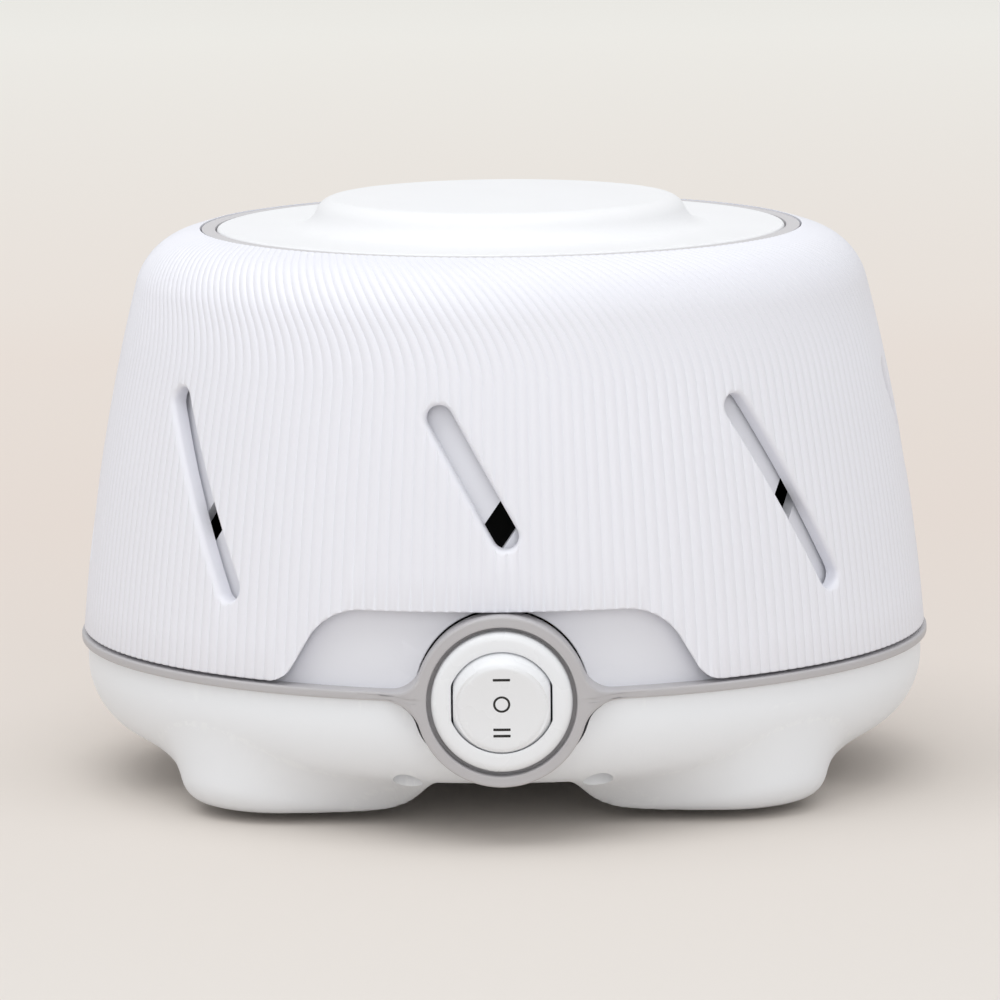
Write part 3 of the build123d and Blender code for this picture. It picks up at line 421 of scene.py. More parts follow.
def skin_point(s):
    """Radius, height and normal of the outer skin at an arc length from its lower edge."""
    start = asin((SHELL_BOTTOM - WALL_CENTRE[1]) / WALL_RADIUS)
    wall_length = WALL_RADIUS * (radians(WALL_END) - start)
    shoulder_length = SHOULDER_RADIUS * radians(SHOULDER_END - WALL_END)
    if s <= wall_length:
        a = start + s / WALL_RADIUS
        return WALL_CENTRE[0] + WALL_RADIUS * cos(a), WALL_CENTRE[1] + WALL_RADIUS * sin(a), a
    if s <= wall_length + shoulder_length:
        a = radians(WALL_END) + (s - wall_length) / SHOULDER_RADIUS
        return SHOULDER_CENTRE[0] + SHOULDER_RADIUS * cos(a), SHOULDER_CENTRE[1] + SHOULDER_RADIUS * sin(a), a
    a = radians(SHOULDER_END)
    rest = s - wall_length - shoulder_length
    r = SHOULDER_CENTRE[0] + SHOULDER_RADIUS * cos(a) - rest * sin(a)
    return r, SHOULDER_CENTRE[1] + SHOULDER_RADIUS * sin(a) + rest * cos(a), a


FINE = np.linspace(0, SKIN_LENGTH, 731)
FINE_POINTS = np.array([skin_point(s)[:2] for s in FINE])


def helix(s):
    """Lean of the ribs at an arc length along the skin."""
    if s <= SWIRL_START:
        return 0.0
    if s <= SWIRL_FULL:
        return SWIRL_ANGLE * (s - SWIRL_START) / (SWIRL_FULL - SWIRL_START)
    return SWIRL_ANGLE + (SWIRL_END_ANGLE - SWIRL_ANGLE) * (s - SWIRL_FULL) / (SKIN_LENGTH - SWIRL_FULL)


TURN = np.array([degrees(tan(radians(helix(s))) / r) for s, (r, _) in zip(FINE, FINE_POINTS)])
SWIRL = np.concatenate([[0], np.cumsum((TURN[1:] + TURN[:-1]) / 2 * np.diff(FINE))])


def shell_rows():
    """Rows of the section all round: radius, height, rib depth share, rib direction, swirl."""
    rows = []
    edge = SHELL_EDGE
    wall_top, shoulder_top, near_mouth = 58.2, 69.85, 71.3
    corner_r, corner_z = float(wall_r(SHELL_BOTTOM + edge)) - edge, SHELL_BOTTOM + edge
    for a in (-90, -60, -30):
        rows.append((corner_r + edge * cos(radians(a)), corner_z + edge * sin(radians(a)), 1.0, 0.0, 0.0))
    stops = list(np.linspace(edge, SWIRL_START, 9)) + list(np.linspace(SWIRL_START, wall_top, 11)[1:])
    stops += list(np.linspace(wall_top, shoulder_top, 14)[1:]) + [near_mouth, SKIN_LENGTH - 0.3]
    for s in stops:
        r, z, a = skin_point(s)
        rows.append((r, z, 1.0, a, float(np.interp(s, FINE, SWIRL))))
    top = rows[-1][4]
    rows.append((MOUTH[0] + 0.08, MOUTH[1] - 0.05, 0.7, radians(45), top))
    rows.append((MOUTH[0], MOUTH[1] - 0.3, 0.0, 0.0, top))
    for r, z in ((MOUTH[0], LIP_TOP), (LIP_RADIUS, LIP_TOP), (LIP_RADIUS, LIP_UNDER)):
        rows.append((r, z, 0.0, 0.0, top))
    inner = SHOULDER_RADIUS - SHELL_WALL
    lip_lean = degrees(asin((LIP_UNDER - SHOULDER_CENTRE[1]) / inner))
    for a in np.linspace(lip_lean, WALL_END, 7):
        a = radians(a)
        r, z = SHOULDER_CENTRE[0] + inner * cos(a), SHOULDER_CENTRE[1] + inner * sin(a)
        rows.append((r, z, 0.0, 0.0, float(np.interp(z, FINE_POINTS[:, 1], SWIRL))))
    for z in np.linspace(rows[-1][1], SHELL_BOTTOM, 8)[1:]:
        swirl = float(np.interp(z, FINE_POINTS[:, 1], SWIRL))
        rows.append((float(wall_r(z, SHELL_WALL)), z, 0.0, 0.0, swirl))
    return rows


def cutter(outline, azimuth):
    """Prism along the radius with a rounded outer mouth.

    outline rows: u, z, normal u, normal z, rounding; u runs across the azimuth.
    """
    inner, outer, slack, proud = 50.0, 76.0, 0.05, 0.4
    u, z, nu, nz, f = np.asarray(outline, float).T
    a = radians(azimuth)
    out, across = Vector((sin(a), -cos(a))), Vector((cos(a), sin(a)))

    def ring(offset, depth=None, level=None):
        uu, zz = u + nu * offset, z + nz * offset
        if level:
            rho = np.full(len(u), level)
        else:
            rho = np.sqrt(wall_r(np.maximum(zz, SHELL_BOTTOM)) ** 2 - uu ** 2) - depth
        return np.stack([rho * out[0] + uu * across[0], rho * out[1] + uu * across[1], zz], axis=-1)

    rings = [ring(0.0, level=inner)]
    for a in np.radians(np.linspace(0, 90, 6)):
        rings.append(ring(f * (1 - cos(a)), depth=f * (1 - sin(a))))
    rings.append(ring(f + slack, depth=-proud))
    rings.append(ring(f + slack, level=outer))
    return capped(rings)


def slot_outline(low):
    """Round-ended slot from a lower end centre's height up, its top towards -u."""
    lean = radians(SLOT_LEAN)
    axis = (-sin(lean), cos(lean))
    side = (cos(lean), sin(lean))
    half, middle, radius = (SLOT_TOP - low) / 2 / cos(lean), (low + SLOT_TOP) / 2, SLOT_WIDTH / 2
    rows = []

    def row(along, nu, nz):
        u, z = along * axis[0] + radius * nu, middle + along * axis[1] + radius * nz
        rows.append((u, z, nu, nz, SLOT_FILLET))

    for end in (1, -1):
        for b in np.radians(np.linspace(0, 180, 15)):
            nu, nz = side[0] * cos(b) + axis[0] * sin(b), side[1] * cos(b) + axis[1] * sin(b)
            row(end * half, end * nu, end * nz)
        for t in np.linspace(1, -1, 14)[1:-1]:
            row(end * t * half, -end * side[0], -end * side[1])
    return rows


def notch_outline():
    """Right half from the tip up, then its mirror, closed below the shell."""
    slope = radians(NOTCH_SLOPE)
    normal = 90 - NOTCH_SLOPE
    upper = (NOTCH_FLAT, NOTCH_TOP - NOTCH_RADIUS)
    end = (upper[0] + NOTCH_RADIUS * cos(radians(normal)), upper[1] + NOTCH_RADIUS * sin(radians(normal)))
    start_z = SHELL_BOTTOM + NOTCH_FOOT * (1 - cos(slope))
    start = (end[0] + (end[1] - start_z) / tan(slope), start_z)
    foot = (start[0] + NOTCH_FOOT * sin(slope), SHELL_BOTTOM + NOTCH_FOOT)
    path = []
    for a in np.radians(np.linspace(-90, -90 - NOTCH_SLOPE, 13)):
        path.append((foot[0] + NOTCH_FOOT * cos(a), foot[1] + NOTCH_FOOT * sin(a), -cos(a), -sin(a)))
    for t in np.linspace(0, 1, 9)[1:-1]:
        x, z = start[0] + t * (end[0] - start[0]), start[1] + t * (end[1] - start[1])
        path.append((x, z, sin(slope), cos(slope)))
    for a in np.radians(np.linspace(normal, 90, 15)):
        path.append((upper[0] + NOTCH_RADIUS * cos(a), upper[1] + NOTCH_RADIUS * sin(a), cos(a), sin(a)))
    for x in np.linspace(NOTCH_FLAT, 0, 12)[1:]:
        path.append((x, NOTCH_TOP, 0.0, 1.0))
    path += [(-x, z, -nx, nz) for x, z, nx, nz in path[-2::-1]]
    length = np.concatenate([[0], np.cumsum(np.hypot(*np.diff(np.array(path)[:, :2], axis=0).T))])
    near = np.minimum(length, length[-1] - length)
    grown = NOTCH_FILLET - NOTCH_TIP_FILLET
    rows = [(*p, NOTCH_TIP_FILLET + grown * min(1.0, d / NOTCH_FILLET_RUN)) for p, d in zip(path, near)]
    tip, below = path[0][0], SHELL_BOTTOM - 5.0
    rows += [(side * tip, below, 0.0, 0.0, NOTCH_TIP_FILLET) for side in (-1, 1)]
    return rows


def make_shell():
    step = 360 / RIB_COUNT
    t = np.array(RIB_STEPS)
    columns = (RIB_START + step * (np.arange(RIB_COUNT)[:, None] + t[None, :])).ravel()
    profile = np.tile((2 * t - 1) ** 2, RIB_COUNT)
    rings = []
    for r, z, share, a, swirl in shell_rows():
        depth = RIB_DEPTH * share * r / RIB_RADIUS * profile
        rings.append(around(r - depth * cos(a), columns - swirl, z - depth * sin(a)))
    shell = mesh_from("ribbed_shell", *loft(rings, loop=True))
    cutters = []
    for index in range(SLOT_COUNT):
        low = FRONT_SLOT_LOW if index == 0 else SLOT_LOW
        middle = (low + SLOT_TOP) / 2
        drift = degrees(tan(radians(SLOT_LEAN)) / float(wall_r(middle))) * (SLOT_TOP - low) / 2
        cutters.append(cutter(slot_outline(low), SLOT_AZIMUTH + drift + 360 / SLOT_COUNT * index))
    cutters.append(cutter(notch_outline(), NOTCH_AZIMUTH))
    boolean(shell, mesh_from("shell_cuts", *joined(*cutters)), "DIFFERENCE")
    finished(shell, "shell", MATERIALS["shell_white"], ["outer_shell"])


# ================================================================ base
def arch(x):
    """Height of an arch over the floor at a distance from its middle."""
    out = np.maximum(np.abs(x) - ARCH_HALF, 0) / ARCH_SPREAD
    return BASE_FLOOR + (BELLY - BASE_FLOOR) / (1 + out * out)


def soft_max(a, b, width):
    """Greater of two heights, blended where they are closer than a width."""
    width = np.maximum(width, 1e-4)
    h = np.maximum(width - np.abs(a - b), 0) / width
    return np.maximum(a, b) + h * h * width / 4


def foot_reach(azimuth):
    """Radius of the feet's common outline, a rounded square."""
    a = np.radians(azimuth)
    c, s = np.abs(np.sin(a)), np.abs(np.cos(a))
    high, low = np.maximum(c, s), np.minimum(c, s)
    flat = FOOT_SIDE / high
    centre = FOOT_SIDE - FOOT_CORNER
    along = centre * (high + low)
    bend = along + np.sqrt(np.maximum(along ** 2 - 2 * centre ** 2 + FOOT_CORNER ** 2, 0))
    return np.where(flat * low > centre, bend, flat)


def circle_point(centre, radius, angle):
    return centre[0] + radius * np.cos(angle), centre[1] + radius * np.sin(angle)


def base_rings(columns, inset, top, rows):
    """Skin of the base for a set of azimuths: floor, foot edge, flank and bowl, each inset by a wall."""
    reach = foot_reach(columns)
    bowl = (np.full_like(reach, BOWL_CENTRE[0]), np.full_like(reach, BOWL_CENTRE[1]))
    foot = (reach - FOOT_EDGE, np.full_like(reach, BASE_FLOOR + FOOT_EDGE))
    apart = np.hypot(foot[0] - bowl[0], foot[1] - bowl[1])
    far, near = BOWL_RADIUS + FLANK, FOOT_EDGE + FLANK
    along = (far ** 2 - near ** 2 + apart ** 2) / (2 * apart)
    off = np.sqrt(far ** 2 - along ** 2)
    ux, uz = (foot[0] - bowl[0]) / apart, (foot[1] - bowl[1]) / apart
    flank = (bowl[0] + along * ux - off * uz, bowl[1] + along * uz + off * ux)
    at_bowl = np.arctan2(flank[1] - bowl[1], flank[0] - bowl[0])
    at_foot = np.arctan2(flank[1] - foot[1], flank[0] - foot[0])
    floor = BASE_FLOOR + inset
    points = [(t * foot[0], np.full_like(reach, floor)) for t in np.linspace(0.04, 0.96, rows)]
    for t in np.linspace(0, 1, rows // 3):
        points.append(circle_point(foot, FOOT_EDGE - inset, -np.pi / 2 + t * (at_foot + np.pi / 2)))
    for t in np.linspace(0, 1, rows // 3 + 2)[1:-1]:
        points.append(circle_point(flank, FLANK + inset, at_foot + np.pi + t * (at_bowl - at_foot)))
    for t in np.linspace(0, 1, rows // 2):
        points.append(circle_point(bowl, BOWL_RADIUS - inset, at_bowl * (1 - t)))
    points.append((np.full_like(reach, RIM_RADIUS - inset), np.full_like(reach, top)))
    rings = []
    for r, z in points:
        ring = around(r - SKIN_SINK, columns, z)
        ax, ay = arch(ring[:, 0]) + inset, arch(ring[:, 1]) + inset
        deep = np.clip((np.maximum(ax, ay) - BASE_FLOOR - inset) / 4, 0, 1)
        raised = np.clip((z - BASE_FLOOR - inset) / 3, 0, 1)
        both = soft_max(ax, ay, ARCH_BLEND * deep)
        ring[:, 2] = soft_max(z, both, EDGE_BLEND * raised * deep) + SKIN_SINK
        rings.append(ring)
    return rings


def base_skin(name, inset, top, rows, columns):
    rings = base_rings(columns, inset, top, rows)
    start, end = (0, 0, BELLY + inset + SKIN_SINK), (0, 0, rings[-1][0, 2])
    return mesh_from(name, *loft(rings, start=start, end=end))


def rod(radius, low, high, place, axis, count=64, half=False):
    """Round bar along Y or Z; half keeps only what lies above its middle."""
    turn = np.radians(np.linspace(0, 180, count) if half else np.linspace(0, 360, count, endpoint=False))
    u, v = place[0] + radius * np.cos(turn), place[1] + radius * np.sin(turn)
    rings = []
    for level in (low, high):
        flat = np.full_like(u, level)
        rings.append(np.stack([u, flat, v] if axis == "Y" else [u, v, flat], -1))
    return capped(rings)


def copy_of(node, name):
    """Copy of a CAD mesh in millimetres, with its vertices welded."""
    copy = bpy.data.objects.new(name, frame["nodes"][node].data.copy())
    bpy.context.scene.collection.objects.link(copy)
    copy.data.transform(Matrix.Scale(MM_PER_M, 4))
    work = bmesh.new()
    work.from_mesh(copy.data)
    bmesh.ops.remove_doubles(work, verts=work.verts, dist=1e-4)
    work.to_mesh(copy.data)
    work.free()
    if "custom_normal" in copy.data.attributes:
        copy.data.attributes.remove(copy.data.attributes["custom_normal"])
    return copy


def make_base():
    """Inner works of the CAD base under a soft outer skin with the full feet."""
    fine = np.arange(8, 21, 0.25)
    quarter = np.concatenate([-fine, fine, np.arange(-8, 8, 0.8), np.arange(21, 69, 0.8)])
    columns = np.unique(np.round(np.concatenate([quarter + 90 * k for k in range(4)]) % 360, 6))
    coarse = np.linspace(0, 360, 240, endpoint=False)
    base = copy_of("base_shell", "lobed_base")
    boolean(base, base_skin("base_limit", 0.0, 30.0, 24, columns), "INTERSECT")
    wall = base_skin("base_wall", 0.0, BAND_LOW - SKIN_SINK, 24, columns)
    boolean(wall, base_skin("base_hollow", BASE_WALL, BAND_LOW + 2, 18, coarse), "DIFFERENCE")
    boolean(base, wall, "UNION")
    boolean(base, mesh_from("gland_seat", *rod(GLAND_SEAT, *GLAND_SEAT_Y, (0, GLAND_Z), "Y")), "UNION")
    cuts = [rod(GLAND_BORE, *GLAND_BORE_Y, (0, GLAND_Z), "Y")]
    for axis in range(4):
        for side in (-BORE_ANGLE, BORE_ANGLE):
            x, y, _ = around(BORE_CIRCLE, np.array(90.0 * axis + side), 0)
            cuts.append(rod(BORE_RADIUS, -1.0, BORE_TOP, (x, y), "Z", 48))
    boolean(base, mesh_from("base_cuts", *joined(*cuts)), "DIFFERENCE")
    path = trim_outline()
    reach = path[:, :2] + path[:, 2:4] * path[:, 4:5]
    prism = []
    for y in BEZEL_CUT_Y:
        prism.append(np.stack([reach[:, 0], np.full(len(reach), y), SWITCH_Z + reach[:, 1]], -1))
    boolean(base, mesh_from("bezel_cut", *capped(prism)), "DIFFERENCE")
    finished(base, "case", MATERIALS["base_white"], ["base_shell"])


def make_inner_wall():
    """The housing, with a fine gap round the upper half of the bezel."""
    housing = copy_of("inner_housing", "inner_wall")
    gap = rod(BEZEL_RADIUS + HOUSING_GAP, *HOUSING_CUT_Y, (0, SWITCH_Z), "Y", 96, half=True)
    boolean(housing, mesh_from("bezel_gap", *gap), "DIFFERENCE")
    finished(housing, "case", MATERIALS["housing_white"], ["inner_housing"])


# ================================================================ trim band with the bezel
def trim_outline():
    """Bezel with a strip at each side, seen along the switch axis.

    Rows: x, z, normal x, normal z, gap round it, share of the rear taper.
    """
    high, low = BAND_HIGH - SWITCH_Z, BAND_LOW - SWITCH_Z
    fillet, end = FLARE_FILLET, STRIP_END
    upper = sqrt((BEZEL_RADIUS + fillet) ** 2 - (high + fillet) ** 2)
    lower = sqrt((BEZEL_RADIUS + fillet) ** 2 - (fillet - low) ** 2)
    up_tangent = degrees(atan((high + fillet) / upper))
    low_tangent = degrees(atan((fillet - low) / lower))
    path = []
    for a in np.linspace(90, up_tangent, 60):
        c, n = cos(radians(a)), sin(radians(a))
        path.append((BEZEL_RADIUS * c, BEZEL_RADIUS * n, c, n, BEZEL_GAP, min(1.0, (a - up_tangent) / 15)))
    for a in np.radians(np.linspace(180 + up_tangent, 270, 20)[1:]):
        x, z = upper + fillet * cos(a), high + fillet + fillet * sin(a)
        path.append((x, z, -cos(a), -sin(a), STRIP_GAP, 0.0))
    path += [(x, high, 0.0, 1.0, STRIP_GAP, 0.0) for x in np.linspace(upper, end, 9)[1:]]
    path.append((end, (high + low) / 2, 1.0, 0.0, STRIP_GAP, 0.0))
    path += [(x, low, 0.0, -1.0, STRIP_GAP, 0.0) for x in np.linspace(end, lower, 9)[:-1]]
    for a in np.linspace(90, 180 - low_tangent, 20):
        c, n = cos(radians(a)), sin(radians(a))
        gap = STRIP_GAP + (FLARE_GAP - STRIP_GAP) * min(1.0, (a - 90) / 30)
        path.append((lower + fillet * c, low - fillet + fillet * n, -c, -n, gap, 0.0))
    for a in np.linspace(-low_tangent, -90, 60)[1:]:
        c, n = cos(radians(a)), sin(radians(a))
        gap = FLARE_GAP - (FLARE_GAP - LOWEST_GAP) * min(1.0, max(0.0, (-a - 25) / 30))
        path.append((BEZEL_RADIUS * c, BEZEL_RADIUS * n, c, n, gap, 0.0))
    path += [(-x, z, -nx, nz, gap, taper) for x, z, nx, nz, gap, taper in path[-2:0:-1]]
    return np.array(path)


def smooth(t):
    t = np.clip(t, 0, 1)
    return t * t * (3 - 2 * t)


def face_y(x, rho, deep, band):
    """Y of a face that is flat at the bezel and follows the band's circle beyond its flares."""
    w = smooth((rho - BEZEL_RADIUS) / FLARE_DEPTH)
    return deep * (1 - w) - np.sqrt(band ** 2 - x ** 2) * w


def bezel():
    """Bezel, flares and strips as one closed skin round the switch hole."""
    x, z, nx, nz, _, taper = trim_outline().T
    sink = SEAM_SINK * smooth((np.abs(x) - SEAM_AT) / SEAM_RAMP)
    turn = np.arctan2(z, x)

    def ring(inset, deep, band, back=0.0):
        px, pz = x - nx * (inset + sink), z - nz * (inset + sink)
        return np.stack([px, face_y(px, np.hypot(px, pz), deep, band) + back + sink, SWITCH_Z + pz], -1)

    def hole(radius, y):
        return np.stack([radius * np.cos(turn), np.full(len(turn), y), SWITCH_Z + radius * np.sin(turn)], -1)

    rings = [ring(BEZEL_TAPER * taper, BEZEL_BACK, BAND_INNER)]
    rings.append(ring(BEZEL_TAPER * taper, TAPER_Y, BAND_INNER + 2.0))
    for a in np.radians((0, 30, 60, 90)):
        rings.append(ring(TRIM_EDGE * (1 - cos(a)), BEZEL_FRONT, BAND_RADIUS, TRIM_EDGE * (1 - sin(a))))
    outer, inner = rings[-1], hole(HOLE_MOUTH, 0.0)
    for t in np.linspace(0, 1, 18)[1:]:
        px = outer[:, 0] * (1 - t) + inner[:, 0] * t
        pz = (outer[:, 2] - SWITCH_Z) * (1 - t) + (inner[:, 2] - SWITCH_Z) * t
        y = face_y(px, np.hypot(px, pz), BEZEL_FRONT, BAND_RADIUS) + sink * (1 - t)
        rings.append(np.stack([px, y, SWITCH_Z + pz], -1))
    for a in np.radians((30, 60, 90)):
        radius = HOLE_MOUTH - (HOLE_MOUTH - HOLE_RADIUS) * sin(a)
        rings.append(hole(radius, BEZEL_FRONT + TRIM_EDGE * (1 - cos(a))))
    rings.append(hole(HOLE_RADIUS, PANEL_FRONT))
    rings.append(hole(PANEL_HOLE, PANEL_FRONT))
    rings.append(hole(PANEL_HOLE, PANEL_BACK))
    rings.append(hole(HOLE_RADIUS, PANEL_BACK))
    rings.append(hole(HOLE_RADIUS, BEZEL_BACK))
    return loft(rings, loop=True)


def band_ring():
    """Ring from one strip of the bezel round the back to the other, a little sunk where it starts."""
    edge = TRIM_EDGE
    profile = [(BAND_INNER, BAND_LOW, 0, 1)]
    for a in np.radians(np.linspace(-90, 0, 5)):
        profile.append((BAND_RADIUS - edge + edge * cos(a), BAND_LOW + edge + edge * sin(a), -1, 1))
    for a in np.radians(np.linspace(0, 90, 5)):
        profile.append((BAND_RADIUS - edge + edge * cos(a), BAND_HIGH - edge + edge * sin(a), -1, -1))
    profile.append((BAND_INNER, BAND_HIGH, 0, -1))
    r, level, dr, dz = np.array(profile).T
    start = degrees(asin(RING_START / BAND_RADIUS))
    sections = []
    for azimuth in np.linspace(start, 360 - start, 340):
        lost = SEAM_SINK * (1 - smooth((min(azimuth, 360 - azimuth) - RING_AT) / RING_RAMP))
        sections.append(around(r + dr * lost, np.full(len(r), azimuth), level + dz * lost))
    return capped(sections)


def make_trim():
    trim = mesh_from("trim_and_bezel", *bezel())
    boolean(trim, mesh_from("trim_ring", *band_ring()), "UNION")
    finished(trim, "case", MATERIALS["trim_grey"], ["trim_band"])


# ================================================================ rocker switch
def barrel(x, grow=0.0):
    """Radius of the rocker's barrel about its pivot axis."""
    half, side, middle = BARREL_HALF + grow, BARREL_SIDE + grow, BARREL_MIDDLE + grow
    sag = middle - side
    arc = (half ** 2 + sag ** 2) / (2 * sag)
    return middle - arc + np.sqrt(np.maximum(arc ** 2 - np.minimum(np.abs(x), half) ** 2, 0))


def barrel_reach(y, grow=0.0):
    """How far each ray in the X-Z plane goes inside the barrel at y from the pivot."""
    c, s = np.cos(RAYS), np.sin(RAYS)
    low, high = np.zeros_like(c), (BARREL_HALF + grow) / np.maximum(np.abs(c), 1e-6)
    high = np.minimum(high, BARREL_REACH)
    for _ in range(40):
        middle = (low + high) / 2
        inside = (middle * s) ** 2 + y ** 2 <= barrel(middle * c, grow) ** 2
        low, high = np.where(inside, middle, low), np.where(inside, high, middle)
    return low


RAYS = np.radians(np.linspace(0, 360, 192, endpoint=False))


def dish(z):
    """Y of the rocker's hollow face."""
    return FACE_Y - (DISH_RADIUS - np.sqrt(DISH_RADIUS ** 2 - z ** 2))


def leaned(points):
    """Points about the pivot, turned by the rocker's lean and moved to the pivot."""
    x, y, z = np.moveaxis(np.asarray(points, float), -1, 0)
    c, s = cos(radians(ROCKER_LEAN)), sin(radians(ROCKER_LEAN))
    return np.stack([x, PIVOT_Y + y * c - z * s, SWITCH_Z + y * s + z * c], -1)


def make_rocker():
    c, s = np.cos(RAYS), np.sin(RAYS)
    rim = barrel_reach(RIM_Y)
    rings = []
    for t in (0.25, 0.5, 0.7, 0.85):
        rho = rim * t
        rings.append(np.stack([rho * c, dish(rho * s), rho * s], -1))
    for inset, drop in ((0.45, 0.0), (0.22, 0.05), (0.08, 0.14)):
        rho = np.maximum(rim - inset, 0.1)
        rings.append(np.stack([rho * c, dish(rho * s) + drop, rho * s], -1))
    for y in (-5.15, -4.8, -4.3, -3.6, -2.6, -1.4, 0.0, 1.2, ROCKER_BACK):
        rho = barrel_reach(abs(y))
        rings.append(np.stack([rho * c, np.full(len(c), y), rho * s], -1))
    points, faces = loft(rings, start=(0, float(dish(0.0)), 0), end=(0, ROCKER_BACK, 0))
    rocker = mesh_from("round_rocker", leaned(points), faces)
    finished(rocker, "rocker", MATERIALS["switch_white"], ["switch_rocker"], sharp=40)


def on_face(loop, lift):
    """Outline laid on the dished face, lifted off it."""
    x, z = np.asarray(loop, float).T
    return np.stack([x, dish(z) - lift, z], -1)


def mark_bar(middle):
    loop = []
    for sx, sz, start in ((1, 1, 0), (-1, 1, 90), (-1, -1, 180), (1, -1, 270)):
        for a in np.radians(np.linspace(start, start + 90, 5)):
            x = sx * (BAR_WIDTH / 2 - BAR_CORNER) + BAR_CORNER * cos(a)
            loop.append((x, middle + sz * (BAR_HEIGHT / 2 - BAR_CORNER) + BAR_CORNER * sin(a)))
    return capped([on_face(loop, lift) for lift in (-MARK_DEPTH, 0.8 * MARK_LIFT, MARK_LIFT)])


def mark_ring():
    turn = np.radians(np.linspace(0, 360, 64, endpoint=False))
    rings = []
    for radius, lift in ((RING_OUTER, -MARK_DEPTH), (RING_OUTER, MARK_LIFT),
                         (RING_INNER, MARK_LIFT), (RING_INNER, -MARK_DEPTH)):
        rings.append(on_face(np.stack([radius * np.cos(turn), RING_Z + radius * np.sin(turn)], -1), lift))
    return loft(rings, loop=True)


def make_marks():
    """Generic bar, ring and double bar, laid on the dished face."""
    points, faces = joined(*[mark_bar(middle) for middle in BAR_HEIGHTS], mark_ring())
    marks = mesh_from("rocker_marks", leaned(points), faces)
    finished(marks, "rocker", MARK_INK)


def make_switch_body():
    """Flange and barrel of the switch, with the hollow that the rocker tips in."""
    c, s = np.cos(RAYS), np.sin(RAYS)

    def ring(rho, y):
        rho, y = np.broadcast_to(rho, c.shape), np.broadcast_to(y, c.shape)
        return np.stack([rho * c, PIVOT_Y + y, SWITCH_Z + rho * s], -1)

    depths = (5.6, 4.0, 2.5, 1.2, 0.0, -1.2, -2.5, -3.5)
    hollow = [barrel_reach(abs(y), SWITCH_PLAY) for y in depths]
    rings = [ring(hollow[0] * t, 6.6 - 0.9 * t) for t in (0.3, 0.6, 0.85)]
    rings += [ring(rho, y) for rho, y in zip(hollow, depths)]
    mouth = barrel_reach(FLANGE_Y, SWITCH_PLAY)
    for inset, y in ((0.0, FLANGE_Y + 0.22), (0.07, FLANGE_Y + 0.07), (0.24, FLANGE_Y)):
        rings.append(ring(mouth + inset, y))
    for t in (0.35, 0.7):
        rings.append(ring(mouth + 0.24 + t * (FLANGE_FLAT - mouth - 0.24), FLANGE_Y))
    for a in np.radians(np.linspace(90, 0, 8)):
        rings.append(ring(FLANGE_FLAT + FLANGE_FILLET * cos(a), FLANGE_Y + FLANGE_FILLET * (1 - sin(a))))
    for rho, y in ((FLANGE_RADIUS, FLANGE_BACK), (BODY_RADIUS, FLANGE_BACK), (BODY_RADIUS, BODY_BACK)):
        rings.append(ring(rho, y))
    start, end = (0.0, PIVOT_Y + 6.7, SWITCH_Z), (0.0, PIVOT_Y + BODY_BACK, SWITCH_Z)
    body = mesh_from("switch_flange", *loft(rings, start=start, end=end))
    finished(body, "case", MATERIALS["switch_white"], ["switch_body"], sharp=40)


make_shell()
make_inner_wall()
make_base()
make_trim()
make_rocker()
make_marks()
make_switch_body()


# ================================================================ stage, light and camera
FLOOR_SIDE, FLOOR_NEAR, FLOOR_FAR = 6000, -3000, 9000      # mm
# Floor colour by distance: darker from the machine back to about half a metre beyond it, a painted shade.
FLOOR_COLOUR_AND_SHADE = (
    (0.0, linear(226, 222, 217)), (0.16, linear(222, 215, 208)),
    (0.45, linear(226, 213, 204)), (1.0, linear(232, 229, 224)),
)
# Painted light: an emitted glow on the floor, seen only by camera, glossy and transmission rays, stronger
# with distance.
FLOOR_PAINTED_GLOW = (
    (0.16, (0.0, 0.0, 0.0, 1.0)), (0.305, (0.03, 0.025, 0.022, 1.0)), (0.41, (0.055, 0.07, 0.07, 1.0)),
    (0.513, (0.09, 0.11, 0.11, 1.0)), (0.968, (0.2, 0.205, 0.19, 1.0)),
)


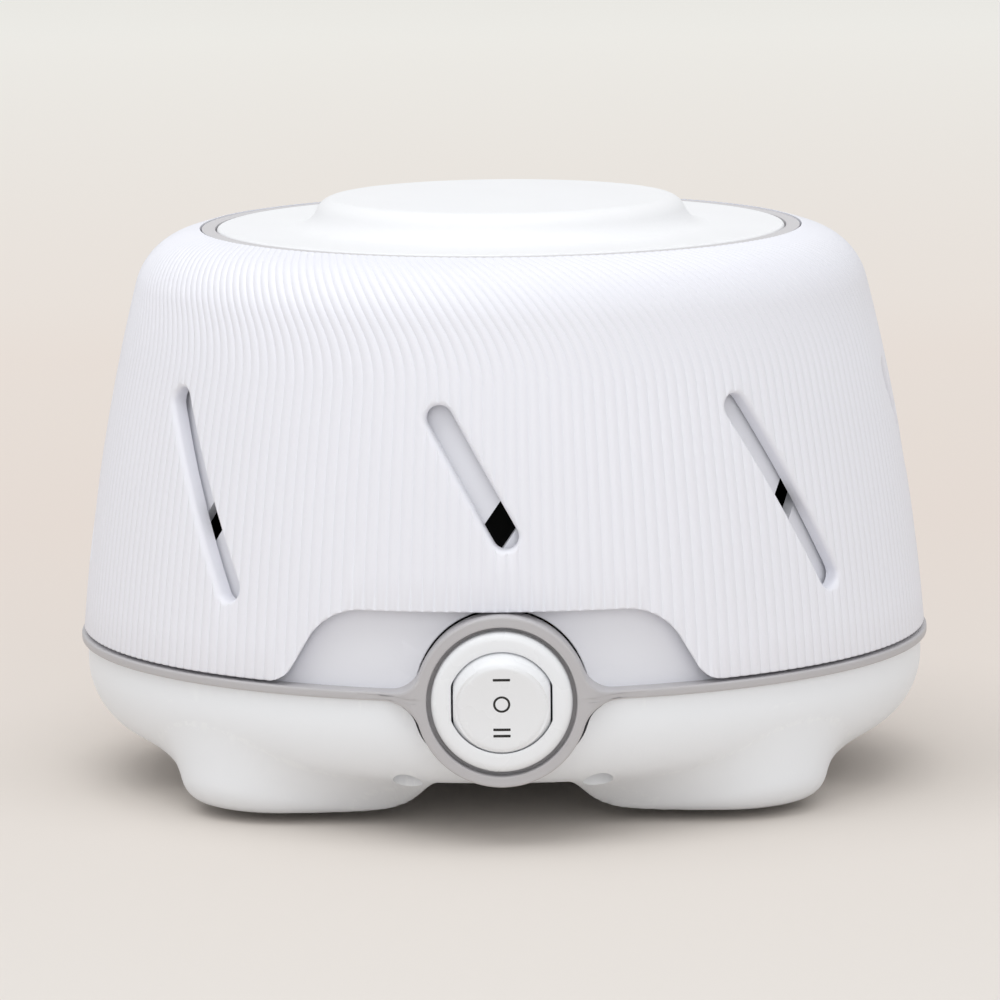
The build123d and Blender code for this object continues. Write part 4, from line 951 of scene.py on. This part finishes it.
def make_floor():
    """Pale floor: darker about the machine's distance, which is painted shade, and lighter far off from a
    painted glow that casts no light.
    """
    corners = [(-FLOOR_SIDE, FLOOR_NEAR, 0), (FLOOR_SIDE, FLOOR_NEAR, 0),
               (FLOOR_SIDE, FLOOR_FAR, 0), (-FLOOR_SIDE, FLOOR_FAR, 0)]
    floor = mesh_from("floor", corners, [(0, 1, 2, 3)])
    floor.data.transform(Matrix.Scale(1 / MM_PER_M, 4))
    n = Nodes("floor_paint")
    away = n.add("ShaderNodeSeparateXYZ", {"Vector": n.place}).outputs["Y"]
    away = n.span(away, -0.3, 1.6, 0.0, 1.0)
    n.link(n.ramp(away, FLOOR_COLOUR_AND_SHADE), "Base Color")
    n.link(n.ramp(away, FLOOR_PAINTED_GLOW), "Emission Color")
    path = n.add("ShaderNodeLightPath")
    seen = path.outputs["Is Camera Ray"]
    for kind in ("Is Glossy Ray", "Is Transmission Ray"):
        seen = n.add("ShaderNodeMath", {0: seen, 1: path.outputs[kind]}, operation="ADD").outputs["Value"]
    n.link(seen, "Emission Strength")
    n.shader.inputs["Roughness"].default_value = 0.9
    n.shader.inputs["Specular IOR Level"].default_value = 0.15
    floor.data.materials.append(n.material)


def lamp(name, place, size, power):
    """Square lamp turned to the middle of the machine."""
    target = Vector((0, 0, 0.05))
    data = bpy.data.lights.new(name, "AREA")
    data.shape, data.size, data.energy = "SQUARE", size, power
    light = bpy.data.objects.new(name, data)
    light.location = place
    light.rotation_euler = (target - Vector(place)).to_track_quat("-Z", "Y").to_euler()
    bpy.context.scene.collection.objects.link(light)


def make_world():
    world = bpy.data.worlds.new("studio")
    world.use_nodes = True
    background = world.node_tree.nodes["Background"]
    background.inputs["Color"].default_value = (0.985, 0.99, 1.0, 1.0)
    background.inputs["Strength"].default_value = 0.66
    bpy.context.scene.world = world


def make_camera():
    """Camera of the photo: metres and radians, the focal length in pixels of a 1000 pixel frame."""
    distance, height, pitch, roll, yaw, focal = 1.150, 0.2127, 0.144744, -0.0091818, -0.000464, 6974.8
    frame_pixels, sensor, azimuth = 1000, 36.0, 0.41
    forward = Vector((sin(yaw) * cos(pitch), cos(yaw) * cos(pitch), -sin(pitch)))
    right = Vector((cos(yaw), -sin(yaw), 0))
    up = right.cross(forward)
    across, upward = cos(roll) * right + sin(roll) * up, cos(roll) * up - sin(roll) * right
    data = bpy.data.cameras.new("camera")
    data.sensor_width, data.lens = sensor, focal * sensor / frame_pixels
    data.clip_start, data.clip_end = 0.01, 50.0
    camera = bpy.data.objects.new("camera", data)
    turn = Matrix((across, upward, -forward)).transposed().to_4x4()
    around_machine = Matrix.Rotation(radians(azimuth), 4, "Z")
    camera.matrix_world = around_machine @ Matrix.Translation((0, -distance, height)) @ turn
    bpy.context.scene.collection.objects.link(camera)
    bpy.context.scene.camera = camera


make_floor()
lamp("overhead", (-0.2, -0.3, 1.7), 1.8, 15.0)
lamp("front", (0.25, -2.4, 1.1), 1.5, 8.5)
make_world()
bpy.context.scene.view_settings.view_transform = "Standard"
make_camera()
